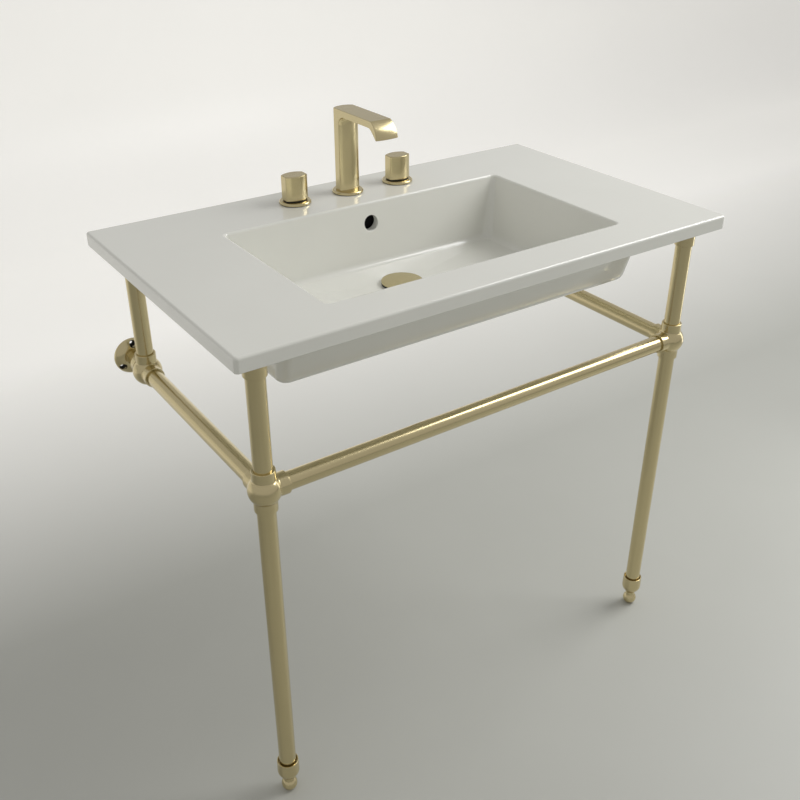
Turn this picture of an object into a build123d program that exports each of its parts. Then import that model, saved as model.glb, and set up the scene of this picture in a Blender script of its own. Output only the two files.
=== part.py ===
from build123d import *
import os
from math import acos, cos, pi, sin, sqrt

# A console washbasin: a glazed ceramic deck with a sunken bowl, a three-hole tap set, a push-button
# waste, and a frame of brass tube with two front legs and two wall flanges.
# Millimetres. X runs to the right, Y towards the wall, Z up. The origin is on the floor, half way
# across the deck and half way between its front edge and the wall.

os.makedirs("parts", exist_ok=True)

# Ceramic deck
deck_width = 864
deck_depth = 508
deck_height = 813
deck_thick = 22
deck_corner = 6
deck_top_round = 4
deck_under_round = 1.5

# Bowl: a mouth in the deck, walls that slope in, and a floor that falls to the waste
bowl_width = 529
bowl_from_wall = 131
bowl_from_front = 71
bowl_deep = 107
bowl_side_inset = 20
bowl_back_inset = 15
bowl_front_inset = 40
bowl_corner = 8
bowl_floor_corner = 18
bowl_floor_round = 10
bowl_lip_round = 3.5
bowl_fall = 5

# Outside of the bowl, a closed ceramic box under the deck
body_width = 650
body_deep = 119
body_front_inset = 98
body_front_lean = 26
body_side_lean = 8
body_from_wall = 102
body_corner = 18
body_edge_round = 12

# Waste hole, its boss, and the overflow duct that runs down behind the bowl and forward to the waste
waste_from_wall = 226
waste_hole = 46
waste_seat = 76
boss_width = 84
boss_deep = 131
duct_width = 30
duct_depth = 12
duct_wall = 10
duct_height = 9
duct_roof = 5
duct_top = 19
overflow_hole = 26
overflow_below = 35
seat_corner_share = 0.45
floor_steps = 4

# Tap set: spout in the middle, a quarter-turn valve each side
tap_from_wall = 64
tap_spread = 203.2
tap_hole = 35
base_gasket_thick = 1
base_gasket_width = 48
escutcheon_width = 53
escutcheon_height = 4.2
escutcheon_round = 2.5
shank_gap = 0.1
washer_thick = 3
washer_width = 48
nut_across = 42
nut_height = 9
nut_edge = 1

# Spout: a flat band that runs forward from an oval column, breaks at a ridge and curves down to a
# thin lip; the curve is an arc that starts and ends at two slopes below the level
spout_half_width = 19
spout_half_flat = 7
spout_bow = 8
spout_height = 141
spout_band = 11
spout_ridge = 102.5
spout_bend_radius = 35
spout_bend_first = 28
spout_bend_last = 82
spout_water_last = 62
spout_lip_start = 100
spout_lip_thick = 1.8
spout_wall = 1.8
spout_water_width = 26
spout_water_bore = 12
spout_slot_height = 2.8
spout_slot_back = 9
spout_shank_below = 62
spout_shank_bore = 14
spout_spigot_width = 20
spout_spigot_height = 12
spout_throat_round = 13
spout_inlet_width = 20.9
spout_inlet_length = 16
insert_gap = 0.1
insert_sunk = 1.6
insert_length = 6
insert_slot_width = 2.4
insert_slot_height = 1.2
insert_slots = 6

# Handles and valves
handle_half_width = 20
handle_half_flat = 7.8
handle_bow = 8
handle_corner = 2
handle_height = 39.8
handle_gap = 2
handle_edge = 1
handle_skirt = 12
handle_skirt_bore = 26
glide_inset = 1.2
glide_gap = 0.3
stem_width = 8
stem_gap = 0.05
stem_in_handle = 16
stem_in_valve = 10
grip_screw_width = 5
grip_screw_length = 8
grip_screw_above = 20
valve_width = 28
valve_below = 56
valve_sunk = 1
cartridge_width = 20
cartridge_deep = 26
cartridge_gap = 0.1
cartridge_head = 22
cartridge_head_height = 9
inlet_width = 20.9
inlet_length = 18
inlet_bore = 13
outlet_width = 16.6
outlet_length = 24
outlet_bore = 10
outlet_below = 44
outlet_turn = 45
outlet_collar = 18.6
outlet_collar_length = 3

# Push-button waste
flange_width = 62
flange_thick = 2
flange_edge = 1
flange_gasket = 1
waste_body_width = 41.6
waste_body_bore = 37
waste_body_below = 58
waste_mouth_width = 44
waste_mouth_deep = 3.5
waste_shoulder_bore = 29
waste_shoulder = 2.5
waste_port_width = 20
waste_port_height = 8
cone_gasket_height = 10
cone_gasket_width = 60
cone_gasket_foot = 54
slip_washer_thick = 1.5
slip_washer_width = 58
waste_nut_across = 56
waste_nut_height = 10
thread_gap = 0.1
tail_width = 31.75
tail_spigot_width = 31
tail_wall = 1.2
tail_length = 58
tail_in_body = 18
tail_gap = 0.1
tail_ring_width = 2.3
tail_ring_height = 2.4
tail_ring_above = 7
tail_ring_gap = 0.05
cap_width = 69
cap_edge = 2
cap_crown = 1
cap_raised = 1
cap_seal_width = 39.4
cap_seal_thick = 2.4
push_stem_width = 8
push_stem_length = 40
push_stem_gap = 0.05
cartridge_sleeve_width = 16
cartridge_sleeve_height = 20
bridge_height = 6
bridge_arm = 4
sleeve_below = 0.5
bridge_hub = 20
bridge_gap = 0.05

# Frame of round tube
tube_width = 26.7
tube_wall = 1.6
leg_from_side = 43
leg_from_front = 40
rear_post_from_wall = 66
rail_height = 589
ball_width = 47
socket_width = 33
socket_reach = 32
socket_stop = 15.5
socket_edge = 0.8
tube_gap = 0.1
post_cap_width = 32
post_cap_height = 28
post_cap_roof = 4
pad_width = 28
pad_thick = 2
wall_flange_width = 62
wall_flange_rim = 3
wall_flange_height = 14
wall_flange_neck = 34
wall_flange_bulge = 2.5
wall_flange_edge = 1
wall_screw_circle = 48
wall_screw_hole = 5.5
wall_screw_head = 11
wall_screw_seat = 6
wall_screws = 3
grub_width = 5
grub_gap = 0.05
grub_hex = 2.5
grub_hex_deep = 1.8

# Feet
foot_cup_width = 35
foot_cup_height = 37
foot_cup_above = 28
foot_cup_belly = 16
foot_cup_base = 30
foot_cup_mouth = 34
foot_cup_floor = 8
foot_cup_recess = 31
foot_cup_recess_deep = 12
foot_ball_width = 24
foot_flat_width = 12
foot_neck_width = 16
foot_stem_width = 10
foot_stem_gap = 0.05
foot_stem_above = 20

overrun = 5

# Places that follow from the sizes
half = 0.5
bowl_length = deck_depth - bowl_from_wall - bowl_from_front
wall_y = deck_depth * half
front_y = -wall_y
deck_under = deck_height - deck_thick
leg_x = deck_width * half - leg_from_side
leg_y = front_y + leg_from_front
rear_y = wall_y - rear_post_from_wall
tap_y = wall_y - tap_from_wall
tap_x = tap_spread * half
waste_y = wall_y - waste_from_wall
mouth_y = wall_y - bowl_from_wall - bowl_length * half
bowl_floor = deck_height - bowl_deep
waste_floor = bowl_floor - bowl_fall
body_bottom = deck_height - body_deep
boss_bottom = deck_height - boss_deep
base_z = deck_height + base_gasket_thick
plate_z = base_z + escutcheon_height


def save(piece, name):
    """Label a finished piece and write its STEP file."""
    piece.part.label = name
    export_step(piece.part, f"parts/{name}.step")


def disc(plane, width, height, bore=0):
    """A plain round piece that stands on a plane, with an optional bore."""
    with BuildPart() as piece:
        with BuildSketch(plane):
            Circle(width * half)
            if bore:
                Circle(bore * half, mode=Mode.SUBTRACT)
        extrude(amount=height)
    return piece


def level(z, x=0, y=0):
    """A horizontal plane through one point."""
    return Plane(origin=(x, y, z), z_dir=(0, 0, 1))


# Hollow of the bowl: the mouth, four sloping walls that turn into the floor on an arc, and a
# floor of four shallow slopes that meet round the flat seat of the waste
def bowl_section(depth, tuck, corner):
    """Sketch the hollow at a depth, drawn in by the tuck at its floor arc."""
    share = depth / bowl_deep
    width = bowl_width - 2 * (bowl_side_inset * share + tuck)
    length = bowl_length - (bowl_back_inset + bowl_front_inset) * share - 2 * tuck
    middle = mouth_y + (bowl_front_inset - bowl_back_inset) * share * half
    with BuildSketch(level(deck_height - depth, 0, middle)) as section:
        RectangleRounded(width, length, corner)
    return section.sketch


bowl_sections = [bowl_section(-overrun, 0, bowl_corner)]
for step in range(floor_steps + 1):
    angle = pi * half * step / floor_steps
    tuck = bowl_floor_round * (1 - cos(angle))
    drop = bowl_floor_round * (1 - sin(angle))
    bowl_sections.append(bowl_section(bowl_deep - drop, tuck, bowl_floor_corner - tuck))

with BuildSketch(level(waste_floor, 0, waste_y)) as waste_seat_plan:
    RectangleRounded(waste_seat, waste_seat, waste_seat * seat_corner_share)
bowl_sections.append(waste_seat_plan.sketch)

with BuildPart() as bowl_hollow:
    loft(bowl_sections, ruled=True)

# Overflow duct: down behind the bowl, then forward under its floor to the waste hole
duct_y = wall_y - body_from_wall - duct_wall - duct_depth * half
duct_floor = boss_bottom + duct_roof

with BuildPart() as duct_hollow:
    with BuildSketch(level(duct_floor, 0, duct_y)):
        Rectangle(duct_width, duct_depth)
    extrude(amount=deck_height - duct_top - duct_floor)
    with BuildSketch(level(duct_floor, 0, (duct_y + waste_y) * half)):
        Rectangle(duct_width, duct_y - waste_y)
    extrude(amount=duct_height)
    with BuildSketch(Plane(origin=(0, duct_y, deck_height - overflow_below), z_dir=(0, -1, 0))):
        Circle(overflow_hole * half)
    extrude(amount=bowl_from_wall - body_from_wall + bowl_back_inset)

# The basin: deck, closed outer box, boss and duct keel in one casting
body_back = wall_y - body_from_wall

with BuildPart() as deck:
    with BuildSketch(level(deck_under)):
        RectangleRounded(deck_width, deck_depth, deck_corner)
    extrude(amount=deck_thick)
    fillet(deck.faces().sort_by(Axis.Z)[0].edges(), deck_under_round)
    fillet(deck.faces().sort_by(Axis.Z)[-1].edges(), deck_top_round)

with BuildPart() as basin:
    for z, front_edge, width in (
        (body_bottom, front_y + body_front_inset, body_width),
        (deck_under, front_y + body_front_inset - body_front_lean, body_width + 2 * body_side_lean),
    ):
        with BuildSketch(level(z, 0, (front_edge + body_back) * half)):
            RectangleRounded(width, body_back - front_edge, body_corner)
    loft(ruled=True)
    fillet(basin.faces().sort_by(Axis.Z)[0].edges(), body_edge_round)
    with BuildSketch(level(boss_bottom, 0, waste_y)):
        Circle(boss_width * half)
    extrude(amount=boss_deep - bowl_deep)
    with BuildSketch(level(boss_bottom, 0, (waste_y + body_back - body_edge_round) * half)):
        Rectangle(duct_width + 2 * duct_wall, body_back - body_edge_round - waste_y)
    extrude(amount=boss_deep - bowl_deep)
    add(deck.part)
    add(bowl_hollow.part, mode=Mode.SUBTRACT)
    fillet(basin.edges().filter_by_position(Axis.Z, deck_height, deck_height)
           .filter_by_position(Axis.Y, mouth_y - bowl_length * half, mouth_y + bowl_length * half)
           .filter_by_position(Axis.X, -bowl_width * half, bowl_width * half), bowl_lip_round)
    add(duct_hollow.part, mode=Mode.SUBTRACT)
    with BuildSketch(level(boss_bottom, 0, waste_y)):
        Circle(waste_hole * half)
    extrude(amount=boss_deep - bowl_deep, mode=Mode.SUBTRACT)
    with BuildSketch(level(deck_under, 0, tap_y)):
        with GridLocations(tap_x, 0, 3, 1):
            Circle(tap_hole * half)
    extrude(amount=deck_thick, mode=Mode.SUBTRACT)
save(basin, "basin")


def turned(base, outline):
    """Turn an outline of (radius, height) points about the axis of a plane."""
    side = Plane(origin=base.origin, x_dir=base.x_dir, z_dir=-base.y_dir)
    with BuildPart() as piece:
        with BuildSketch(side):
            with BuildLine():
                Polyline(*outline, close=True)
            make_face()
        revolve(axis=Axis(base.origin, base.z_dir))
    return piece


def hex_nut(plane, across, bore, height, edge):
    """A lock nut: six flats with chamfered corners and a plain bore."""
    with BuildPart() as piece:
        with BuildSketch(plane):
            RegularPolygon(across * half, 6, major_radius=False)
            Circle(bore * half, mode=Mode.SUBTRACT)
        extrude(amount=height)
        chamfer(piece.edges().filter_by(GeomType.LINE).group_by(SortBy.LENGTH)[-1], edge)
    return piece


def cushion(plane, half_width, half_flat, bow, corner):
    """A section with narrow flat sides and a bowed front and back."""
    with BuildSketch(plane) as section:
        with BuildLine():
            Line((half_width, -half_flat), (half_width, half_flat))
            ThreePointArc((half_width, half_flat), (0, half_flat + bow), (-half_width, half_flat))
            Line((-half_width, half_flat), (-half_width, -half_flat))
            ThreePointArc((-half_width, -half_flat), (0, -half_flat - bow), (half_width, -half_flat))
        make_face()
        if corner:
            fillet(section.vertices(), corner)
    return section.sketch


# Clamping of the three tap holes: base gaskets above the deck, washers and lock nuts below it
tap_places = {"hot": -tap_x, "spout": 0, "cold": tap_x}
shank_hole = valve_width + 2 * shank_gap
washer_z = deck_under - washer_thick
nut_z = washer_z - nut_height

with BuildPart() as tap_base_gaskets:
    with BuildSketch(level(deck_height, 0, tap_y)):
        with GridLocations(tap_x, 0, 3, 1):
            Circle(base_gasket_width * half)
            Circle(shank_hole * half, mode=Mode.SUBTRACT)
    extrude(amount=base_gasket_thick)
save(tap_base_gaskets, "tap_base_gaskets")

with BuildPart() as tap_washers:
    with BuildSketch(level(washer_z, 0, tap_y)):
        with GridLocations(tap_x, 0, 3, 1):
            Circle(washer_width * half)
            Circle(shank_hole * half, mode=Mode.SUBTRACT)
    extrude(amount=washer_thick)
save(tap_washers, "tap_washers")

with BuildPart() as tap_locknuts:
    with BuildSketch(level(nut_z, 0, tap_y)):
        with GridLocations(tap_x, 0, 3, 1):
            RegularPolygon(nut_across * half, 6, major_radius=False)
            Circle(shank_hole * half, mode=Mode.SUBTRACT)
    extrude(amount=nut_height)
    chamfer(tap_locknuts.edges().filter_by(Axis.Z, reverse=False), nut_edge)
save(tap_locknuts, "tap_locknuts")


def escutcheon(x):
    """The round cover plate of one tap hole."""
    with BuildPart() as piece:
        with BuildSketch(level(base_z, x, tap_y)):
            Circle(escutcheon_width * half)
        extrude(amount=escutcheon_height)
        fillet(piece.faces().sort_by(Axis.Z)[-1].edges(), escutcheon_round)
        with BuildSketch(level(base_z, x, tap_y)):
            Circle(shank_hole * half)
        extrude(amount=escutcheon_height, mode=Mode.SUBTRACT)
    return piece


for name, x in tap_places.items():
    save(escutcheon(x), f"{name}_escutcheon")

# Spout: an oval column, and a flat band that runs forward, breaks at a ridge and thins to a lip
spout_top = deck_height + spout_height
band_under = spout_top - spout_band
ridge = (tap_y - spout_ridge, spout_top)
bend_first = pi * spout_bend_first / 180
bend_last = pi * spout_bend_last / 180
bend_centre = (ridge[0] + spout_bend_radius * sin(bend_first),
               ridge[1] - spout_bend_radius * cos(bend_first))


def on_bend(slope, depth=0):
    """The point of the lip's arc where it has a slope, or of its twin at a depth below it."""
    radius = spout_bend_radius - depth
    return (bend_centre[0] - radius * sin(slope), bend_centre[1] + radius * cos(slope))


tip = on_bend(bend_last)
tip_back = (tip[0] + spout_lip_thick, tip[1])
lip_root = (tap_y - spout_lip_start, band_under)

with BuildSketch(Plane.YZ) as band_side:
    with BuildLine():
        Line((tap_y, spout_top), ridge)
        ThreePointArc(ridge, on_bend((bend_first + bend_last) * half), tip)
        Polyline(tip, tip_back, lip_root, (tap_y, band_under), (tap_y, spout_top))
    make_face()

# The waterway follows the same outline, one wall inside it, and stops short of the thin lip
under_fall = (lip_root[1] - tip_back[1]) / (lip_root[0] - tip_back[0])
under_wall = spout_wall * sqrt(1 + under_fall ** 2)
water_top = spout_top - spout_wall
water_first = acos((water_top - bend_centre[1]) / (spout_bend_radius - spout_wall))
water_last = pi * spout_water_last / 180
water_end = on_bend(water_last, spout_wall)
water_foot = (water_end[0], tip_back[1] + under_fall * (water_end[0] - tip_back[0]) + under_wall)
water_root = (lip_root[0] - (under_wall - spout_wall) / under_fall, band_under + spout_wall)

with BuildSketch(Plane.YZ) as water_side:
    with BuildLine():
        Line((tap_y, water_top), on_bend(water_first, spout_wall))
        ThreePointArc(on_bend(water_first, spout_wall),
                      on_bend((water_first + water_last) * half, spout_wall), water_end)
        Polyline(water_end, water_foot, water_root, (tap_y, water_root[1]), (tap_y, water_top))
    make_face()

slot_plane = level(tip_back[1] + under_fall * spout_slot_back, 0, tip_back[0] + spout_slot_back)
column_section = cushion(level(plate_z, 0, tap_y), spout_half_width, spout_half_flat, spout_bow, 0)

with BuildPart() as spout:
    extrude(column_section, amount=spout_top - plate_z)
    extrude(band_side.sketch, amount=spout_half_width, both=True)
    throat = spout.edges().filter_by(GeomType.CIRCLE).filter_by_position(Axis.Z, band_under, band_under)
    fillet(throat, spout_throat_round)
    extrude(water_side.sketch, amount=spout_water_width * half, both=True, mode=Mode.SUBTRACT)
    with BuildSketch(level(plate_z, 0, tap_y)):
        Circle(spout_water_bore * half)
    extrude(amount=band_under + spout_wall * 2 - plate_z, mode=Mode.SUBTRACT)
    with BuildSketch(level(plate_z, 0, tap_y)):
        Circle(spout_spigot_width * half + shank_gap)
    extrude(amount=spout_spigot_height, mode=Mode.SUBTRACT)
    with BuildSketch(slot_plane.offset(-overrun)):
        Rectangle(spout_water_width, spout_slot_height)
    extrude(amount=overrun + insert_length + spout_wall, mode=Mode.SUBTRACT)
save(spout, "spout")

with BuildPart() as spout_outlet:
    with BuildSketch(slot_plane.offset(insert_sunk)):
        Rectangle(spout_water_width - 2 * insert_gap, spout_slot_height - 2 * insert_gap)
        with GridLocations(spout_water_width / (insert_slots + half), 0, insert_slots, 1):
            Rectangle(insert_slot_width, insert_slot_height, mode=Mode.SUBTRACT)
    extrude(amount=insert_length)
save(spout_outlet, "spout_outlet")

# Threaded shank of the spout: a stout tube through the deck, with a spigot in the column above and
# a narrower inlet below
spout_shank = turned(level(deck_height, 0, tap_y), [
    (spout_shank_bore * half, -spout_shank_below - spout_inlet_length),
    (spout_inlet_width * half, -spout_shank_below - spout_inlet_length),
    (spout_inlet_width * half, -spout_shank_below),
    (valve_width * half, -spout_shank_below),
    (valve_width * half, plate_z - deck_height),
    (spout_spigot_width * half, plate_z - deck_height),
    (spout_spigot_width * half, plate_z - deck_height + spout_spigot_height),
    (spout_shank_bore * half, plate_z - deck_height + spout_spigot_height),
])
save(spout_shank, "spout_shank")

# Valves and handles: a body through the deck, a cartridge in it, a stem that turns, the grip on it
body_top = plate_z - valve_sunk
cartridge_z = body_top - cartridge_deep
handle_z = plate_z + handle_gap
stem_top = handle_z + handle_skirt + stem_in_handle
stem_bottom = body_top - stem_in_valve


def valve_body(x, inward):
    """A round brass body with a threaded inlet below and an outlet turned back and inward."""
    bottom = deck_height - valve_below
    turn = pi * outlet_turn / 180
    reach = valve_width * half + outlet_collar_length
    with BuildPart() as piece:
        with BuildSketch(level(bottom, x, tap_y)):
            Circle(valve_width * half)
        extrude(amount=body_top - bottom)
        with BuildSketch(level(bottom, x, tap_y)):
            Circle(inlet_width * half)
        extrude(amount=-inlet_length)
        side = Plane(origin=(x, tap_y, deck_height - outlet_below),
                     z_dir=(inward * cos(turn), sin(turn), 0))
        with BuildSketch(side):
            Circle(outlet_collar * half)
        extrude(amount=reach)
        with BuildSketch(side):
            Circle(outlet_width * half)
        extrude(amount=reach + outlet_length)
        with BuildSketch(side):
            Circle(outlet_bore * half)
        extrude(amount=reach + outlet_length, mode=Mode.SUBTRACT)
        with BuildSketch(level(cartridge_z, x, tap_y)):
            Circle(cartridge_width * half + cartridge_gap)
        extrude(amount=cartridge_deep, mode=Mode.SUBTRACT)
        with BuildSketch(level(bottom - inlet_length, x, tap_y)):
            Circle(inlet_bore * half)
        extrude(amount=inlet_length + cartridge_z - bottom, mode=Mode.SUBTRACT)
    return piece


def handle(x):
    """The grip: the same oval section as the spout column, hollow under its skirt."""
    section = cushion(level(handle_z, x, tap_y), handle_half_width, handle_half_flat, handle_bow,
                      handle_corner)
    with BuildPart() as piece:
        extrude(section, amount=handle_height)
        fillet(piece.faces().sort_by(Axis.Z)[-1].edges(), handle_edge)
        with BuildSketch(level(handle_z, x, tap_y)):
            Circle(handle_skirt_bore * half)
        extrude(amount=handle_skirt, mode=Mode.SUBTRACT)
        with BuildSketch(level(handle_z, x, tap_y)):
            Circle(stem_width * half + stem_gap)
        extrude(amount=handle_skirt + stem_in_handle, mode=Mode.SUBTRACT)
        with BuildSketch(Plane(origin=(x, tap_y, handle_z + grip_screw_above), z_dir=(0, 1, 0))):
            Circle(grip_screw_width * half + grub_gap)
        extrude(amount=handle_half_flat + handle_bow + overrun, mode=Mode.SUBTRACT)
    return piece


def glide_ring(x):
    """The black ring under the grip that turns with it just above the cover plate."""
    height = handle_gap - glide_gap
    section = cushion(level(handle_z - height, x, tap_y), handle_half_width - glide_inset,
                      handle_half_flat - glide_inset, handle_bow, handle_corner)
    with BuildPart() as piece:
        extrude(section, amount=height)
        with BuildSketch(level(handle_z - height, x, tap_y)):
            Circle(handle_skirt_bore * half)
        extrude(amount=height, mode=Mode.SUBTRACT)
    return piece


def grub_screw(plane, width, length):
    """A headless screw that starts at a plane, with a hexagon socket in its outer end."""
    with BuildPart() as piece:
        with BuildSketch(plane):
            Circle(width * half)
        extrude(amount=length)
        with BuildSketch(plane.offset(length - grub_hex_deep)):
            RegularPolygon(grub_hex * half, 6, major_radius=False)
        extrude(amount=grub_hex_deep, mode=Mode.SUBTRACT)
    return piece


for name, side in (("hot", -1), ("cold", 1)):
    x = side * tap_x
    save(valve_body(x, -side), f"{name}_valve_body")
    save(turned(level(cartridge_z, x, tap_y), [
        (stem_width * half + stem_gap, 0),
        (cartridge_width * half, 0),
        (cartridge_width * half, cartridge_deep),
        (cartridge_head * half, cartridge_deep),
        (cartridge_head * half, cartridge_deep + cartridge_head_height),
        (stem_width * half + stem_gap, cartridge_deep + cartridge_head_height),
    ]), f"{name}_cartridge")
    save(disc(level(stem_bottom, x, tap_y), stem_width, stem_top - stem_bottom), f"{name}_stem")
    save(handle(x), f"{name}_handle")
    save(glide_ring(x), f"{name}_glide_ring")
    screw_plane = Plane(origin=(x, tap_y + stem_width * half, handle_z + grip_screw_above),
                        z_dir=(0, 1, 0))
    save(grub_screw(screw_plane, grip_screw_width, grip_screw_length), f"{name}_handle_screw")

# Push-button waste: flanged body through the ceramic, sealed and clamped below the boss
gasket_top = waste_floor + flange_gasket
flange_top = gasket_top + flange_thick
waste_base = level(gasket_top, 0, waste_y)
port_z = boss_bottom + duct_roof + duct_height * half
tail_top = gasket_top - waste_body_below + tail_in_body

with BuildPart() as drain_body:
    add(turned(waste_base, [
        (waste_body_bore * half, -waste_body_below + tail_in_body + waste_shoulder),
        (waste_shoulder_bore * half, -waste_body_below + tail_in_body + waste_shoulder),
        (waste_shoulder_bore * half, -waste_body_below + tail_in_body),
        (tail_spigot_width * half + tail_gap, -waste_body_below + tail_in_body),
        (tail_spigot_width * half + tail_gap, -waste_body_below + tail_ring_above + tail_ring_height),
        (tail_spigot_width * half + tail_ring_width, -waste_body_below + tail_ring_above + tail_ring_height),
        (tail_spigot_width * half + tail_ring_width, -waste_body_below + tail_ring_above),
        (tail_spigot_width * half + tail_gap, -waste_body_below + tail_ring_above),
        (tail_spigot_width * half + tail_gap, -waste_body_below),
        (waste_body_width * half, -waste_body_below),
        (waste_body_width * half, 0),
        (flange_width * half, 0),
        (flange_width * half, flange_thick - flange_edge),
        (flange_width * half - flange_edge, flange_thick),
        (waste_mouth_width * half, flange_thick),
        (waste_body_bore * half, flange_thick - waste_mouth_deep),
    ]).part)
    with BuildSketch(Plane(origin=(0, waste_y - waste_body_width, port_z), x_dir=(1, 0, 0),
                           z_dir=(0, 1, 0))):
        SlotOverall(waste_port_width, waste_port_height)
    extrude(amount=2 * waste_body_width, mode=Mode.SUBTRACT)
save(drain_body, "drain_body")

# A bridge that drops on the shoulder in the waste body and holds the stopper's sleeve
bridge_plane = level(tail_top + waste_shoulder, 0, waste_y)

with BuildPart() as stopper_bridge:
    with BuildSketch(bridge_plane):
        Rectangle(waste_body_bore, bridge_arm)
        Circle(waste_body_bore * half - bridge_gap, mode=Mode.INTERSECT)
        Circle(bridge_hub * half)
        Circle(cartridge_sleeve_width * half + bridge_gap, mode=Mode.SUBTRACT)
    extrude(amount=bridge_height)
save(stopper_bridge, "stopper_bridge")

save(disc(level(waste_floor, 0, waste_y), flange_width, flange_gasket, waste_body_width + 2 * thread_gap),
     "drain_flange_gasket")
cone_z = boss_bottom - cone_gasket_height
slip_z = cone_z - slip_washer_thick
save(turned(level(cone_z, 0, waste_y), [
    (waste_body_width * half + thread_gap, 0),
    (cone_gasket_foot * half, 0),
    (cone_gasket_width * half, cone_gasket_height),
    (waste_body_width * half + thread_gap, cone_gasket_height),
]), "drain_gasket")
save(disc(level(slip_z, 0, waste_y), slip_washer_width, slip_washer_thick,
          waste_body_width + 2 * thread_gap), "drain_washer")
save(hex_nut(level(slip_z - waste_nut_height, 0, waste_y), waste_nut_across,
             waste_body_width + 2 * thread_gap, waste_nut_height, nut_edge), "drain_locknut")
tail_bore = tail_width - 2 * tail_wall
save(turned(level(tail_top, 0, waste_y), [
    (tail_bore * half, -tail_length),
    (tail_width * half, -tail_length),
    (tail_width * half, -tail_in_body),
    (tail_spigot_width * half, -tail_in_body),
    (tail_spigot_width * half, 0),
    (tail_bore * half, 0),
]), "tailpiece")
save(disc(level(gasket_top - waste_body_below + tail_ring_above + tail_ring_gap, 0, waste_y),
          tail_spigot_width + 2 * (tail_ring_width - tail_ring_gap), tail_ring_height - 2 * tail_ring_gap,
          tail_spigot_width + 2 * tail_ring_gap), "tailpiece_seal")

# Stopper: a shallow cap with a tapered seal, on a stem that slides in a sleeve
sleeve_z = bridge_plane.origin.Z - sleeve_below
cap_z = flange_top + cap_raised
save(disc(level(sleeve_z, 0, waste_y), cartridge_sleeve_width, cartridge_sleeve_height,
          push_stem_width + 2 * push_stem_gap), "stopper_cartridge")
save(disc(level(cap_z - push_stem_length, 0, waste_y), push_stem_width, push_stem_length),
     "stopper_stem")
save(turned(level(cap_z - cap_seal_thick, 0, waste_y), [
    (push_stem_width * half + thread_gap, 0),
    (cap_seal_width * half, 0),
    (cap_seal_width * half + cap_seal_thick, cap_seal_thick),
    (push_stem_width * half + thread_gap, cap_seal_thick),
]), "stopper_seal")

cap_radius = cap_width * half
dome_radius = (cap_radius ** 2 + cap_crown ** 2) / (2 * cap_crown)
dome_mid = cap_edge + cap_crown - dome_radius + sqrt(dome_radius ** 2 - (cap_radius * half) ** 2)

with BuildPart() as drain_stopper:
    with BuildSketch(Plane(origin=(0, waste_y, cap_z), x_dir=(1, 0, 0), z_dir=(0, -1, 0))):
        with BuildLine():
            Line((0, 0), (cap_radius, 0))
            Line((cap_radius, 0), (cap_radius, cap_edge))
            ThreePointArc((cap_radius, cap_edge), (cap_radius * half, dome_mid), (0, cap_edge + cap_crown))
            Line((0, cap_edge + cap_crown), (0, 0))
        make_face()
    revolve(axis=Axis((0, waste_y, cap_z), (0, 0, 1)))
save(drain_stopper, "drain_stopper")

# Frame: ball fittings that take the tubes in sockets, held by grub screws on the hidden sides
tube_bore = tube_width - 2 * tube_wall
pad_z = deck_under - pad_thick
post_top = pad_z - post_cap_roof
up, down, back, front = (0, 0, 1), (0, 0, -1), (0, 1, 0), (0, -1, 0)


def ball_fitting(centre, arms):
    """A ball with a socket along each arm; the tubes stop short of the middle."""
    with BuildPart() as piece:
        with Locations(centre):
            Sphere(ball_width * half)
        for arm, screw in arms:
            with BuildSketch(Plane(origin=centre, z_dir=arm)):
                Circle(socket_width * half)
            extrude(amount=socket_reach)
            fillet(piece.faces().sort_by(Axis(centre, arm))[-1].edges(), socket_edge)
        for arm, screw in arms:
            socket = Plane(origin=centre, z_dir=arm)
            with BuildSketch(socket.offset(socket_stop)):
                Circle(tube_width * half + tube_gap)
            extrude(amount=socket_reach, mode=Mode.SUBTRACT)
            with BuildSketch(screw_seat(centre, arm, screw)):
                Circle(grub_width * half + grub_gap)
            extrude(amount=socket_width, mode=Mode.SUBTRACT)
    return piece


def screw_seat(centre, arm, screw):
    """The plane on the tube where the grub screw of one socket starts."""
    along = (socket_stop + socket_reach) * half
    out = tube_width * half
    origin = tuple(c + a * along + s * out for c, a, s in zip(centre, arm, screw))
    return Plane(origin=origin, z_dir=screw)


def tube(start, direction, length):
    """A straight piece of the frame's tube."""
    return disc(Plane(origin=start, z_dir=direction), tube_width, length, tube_bore)


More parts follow.
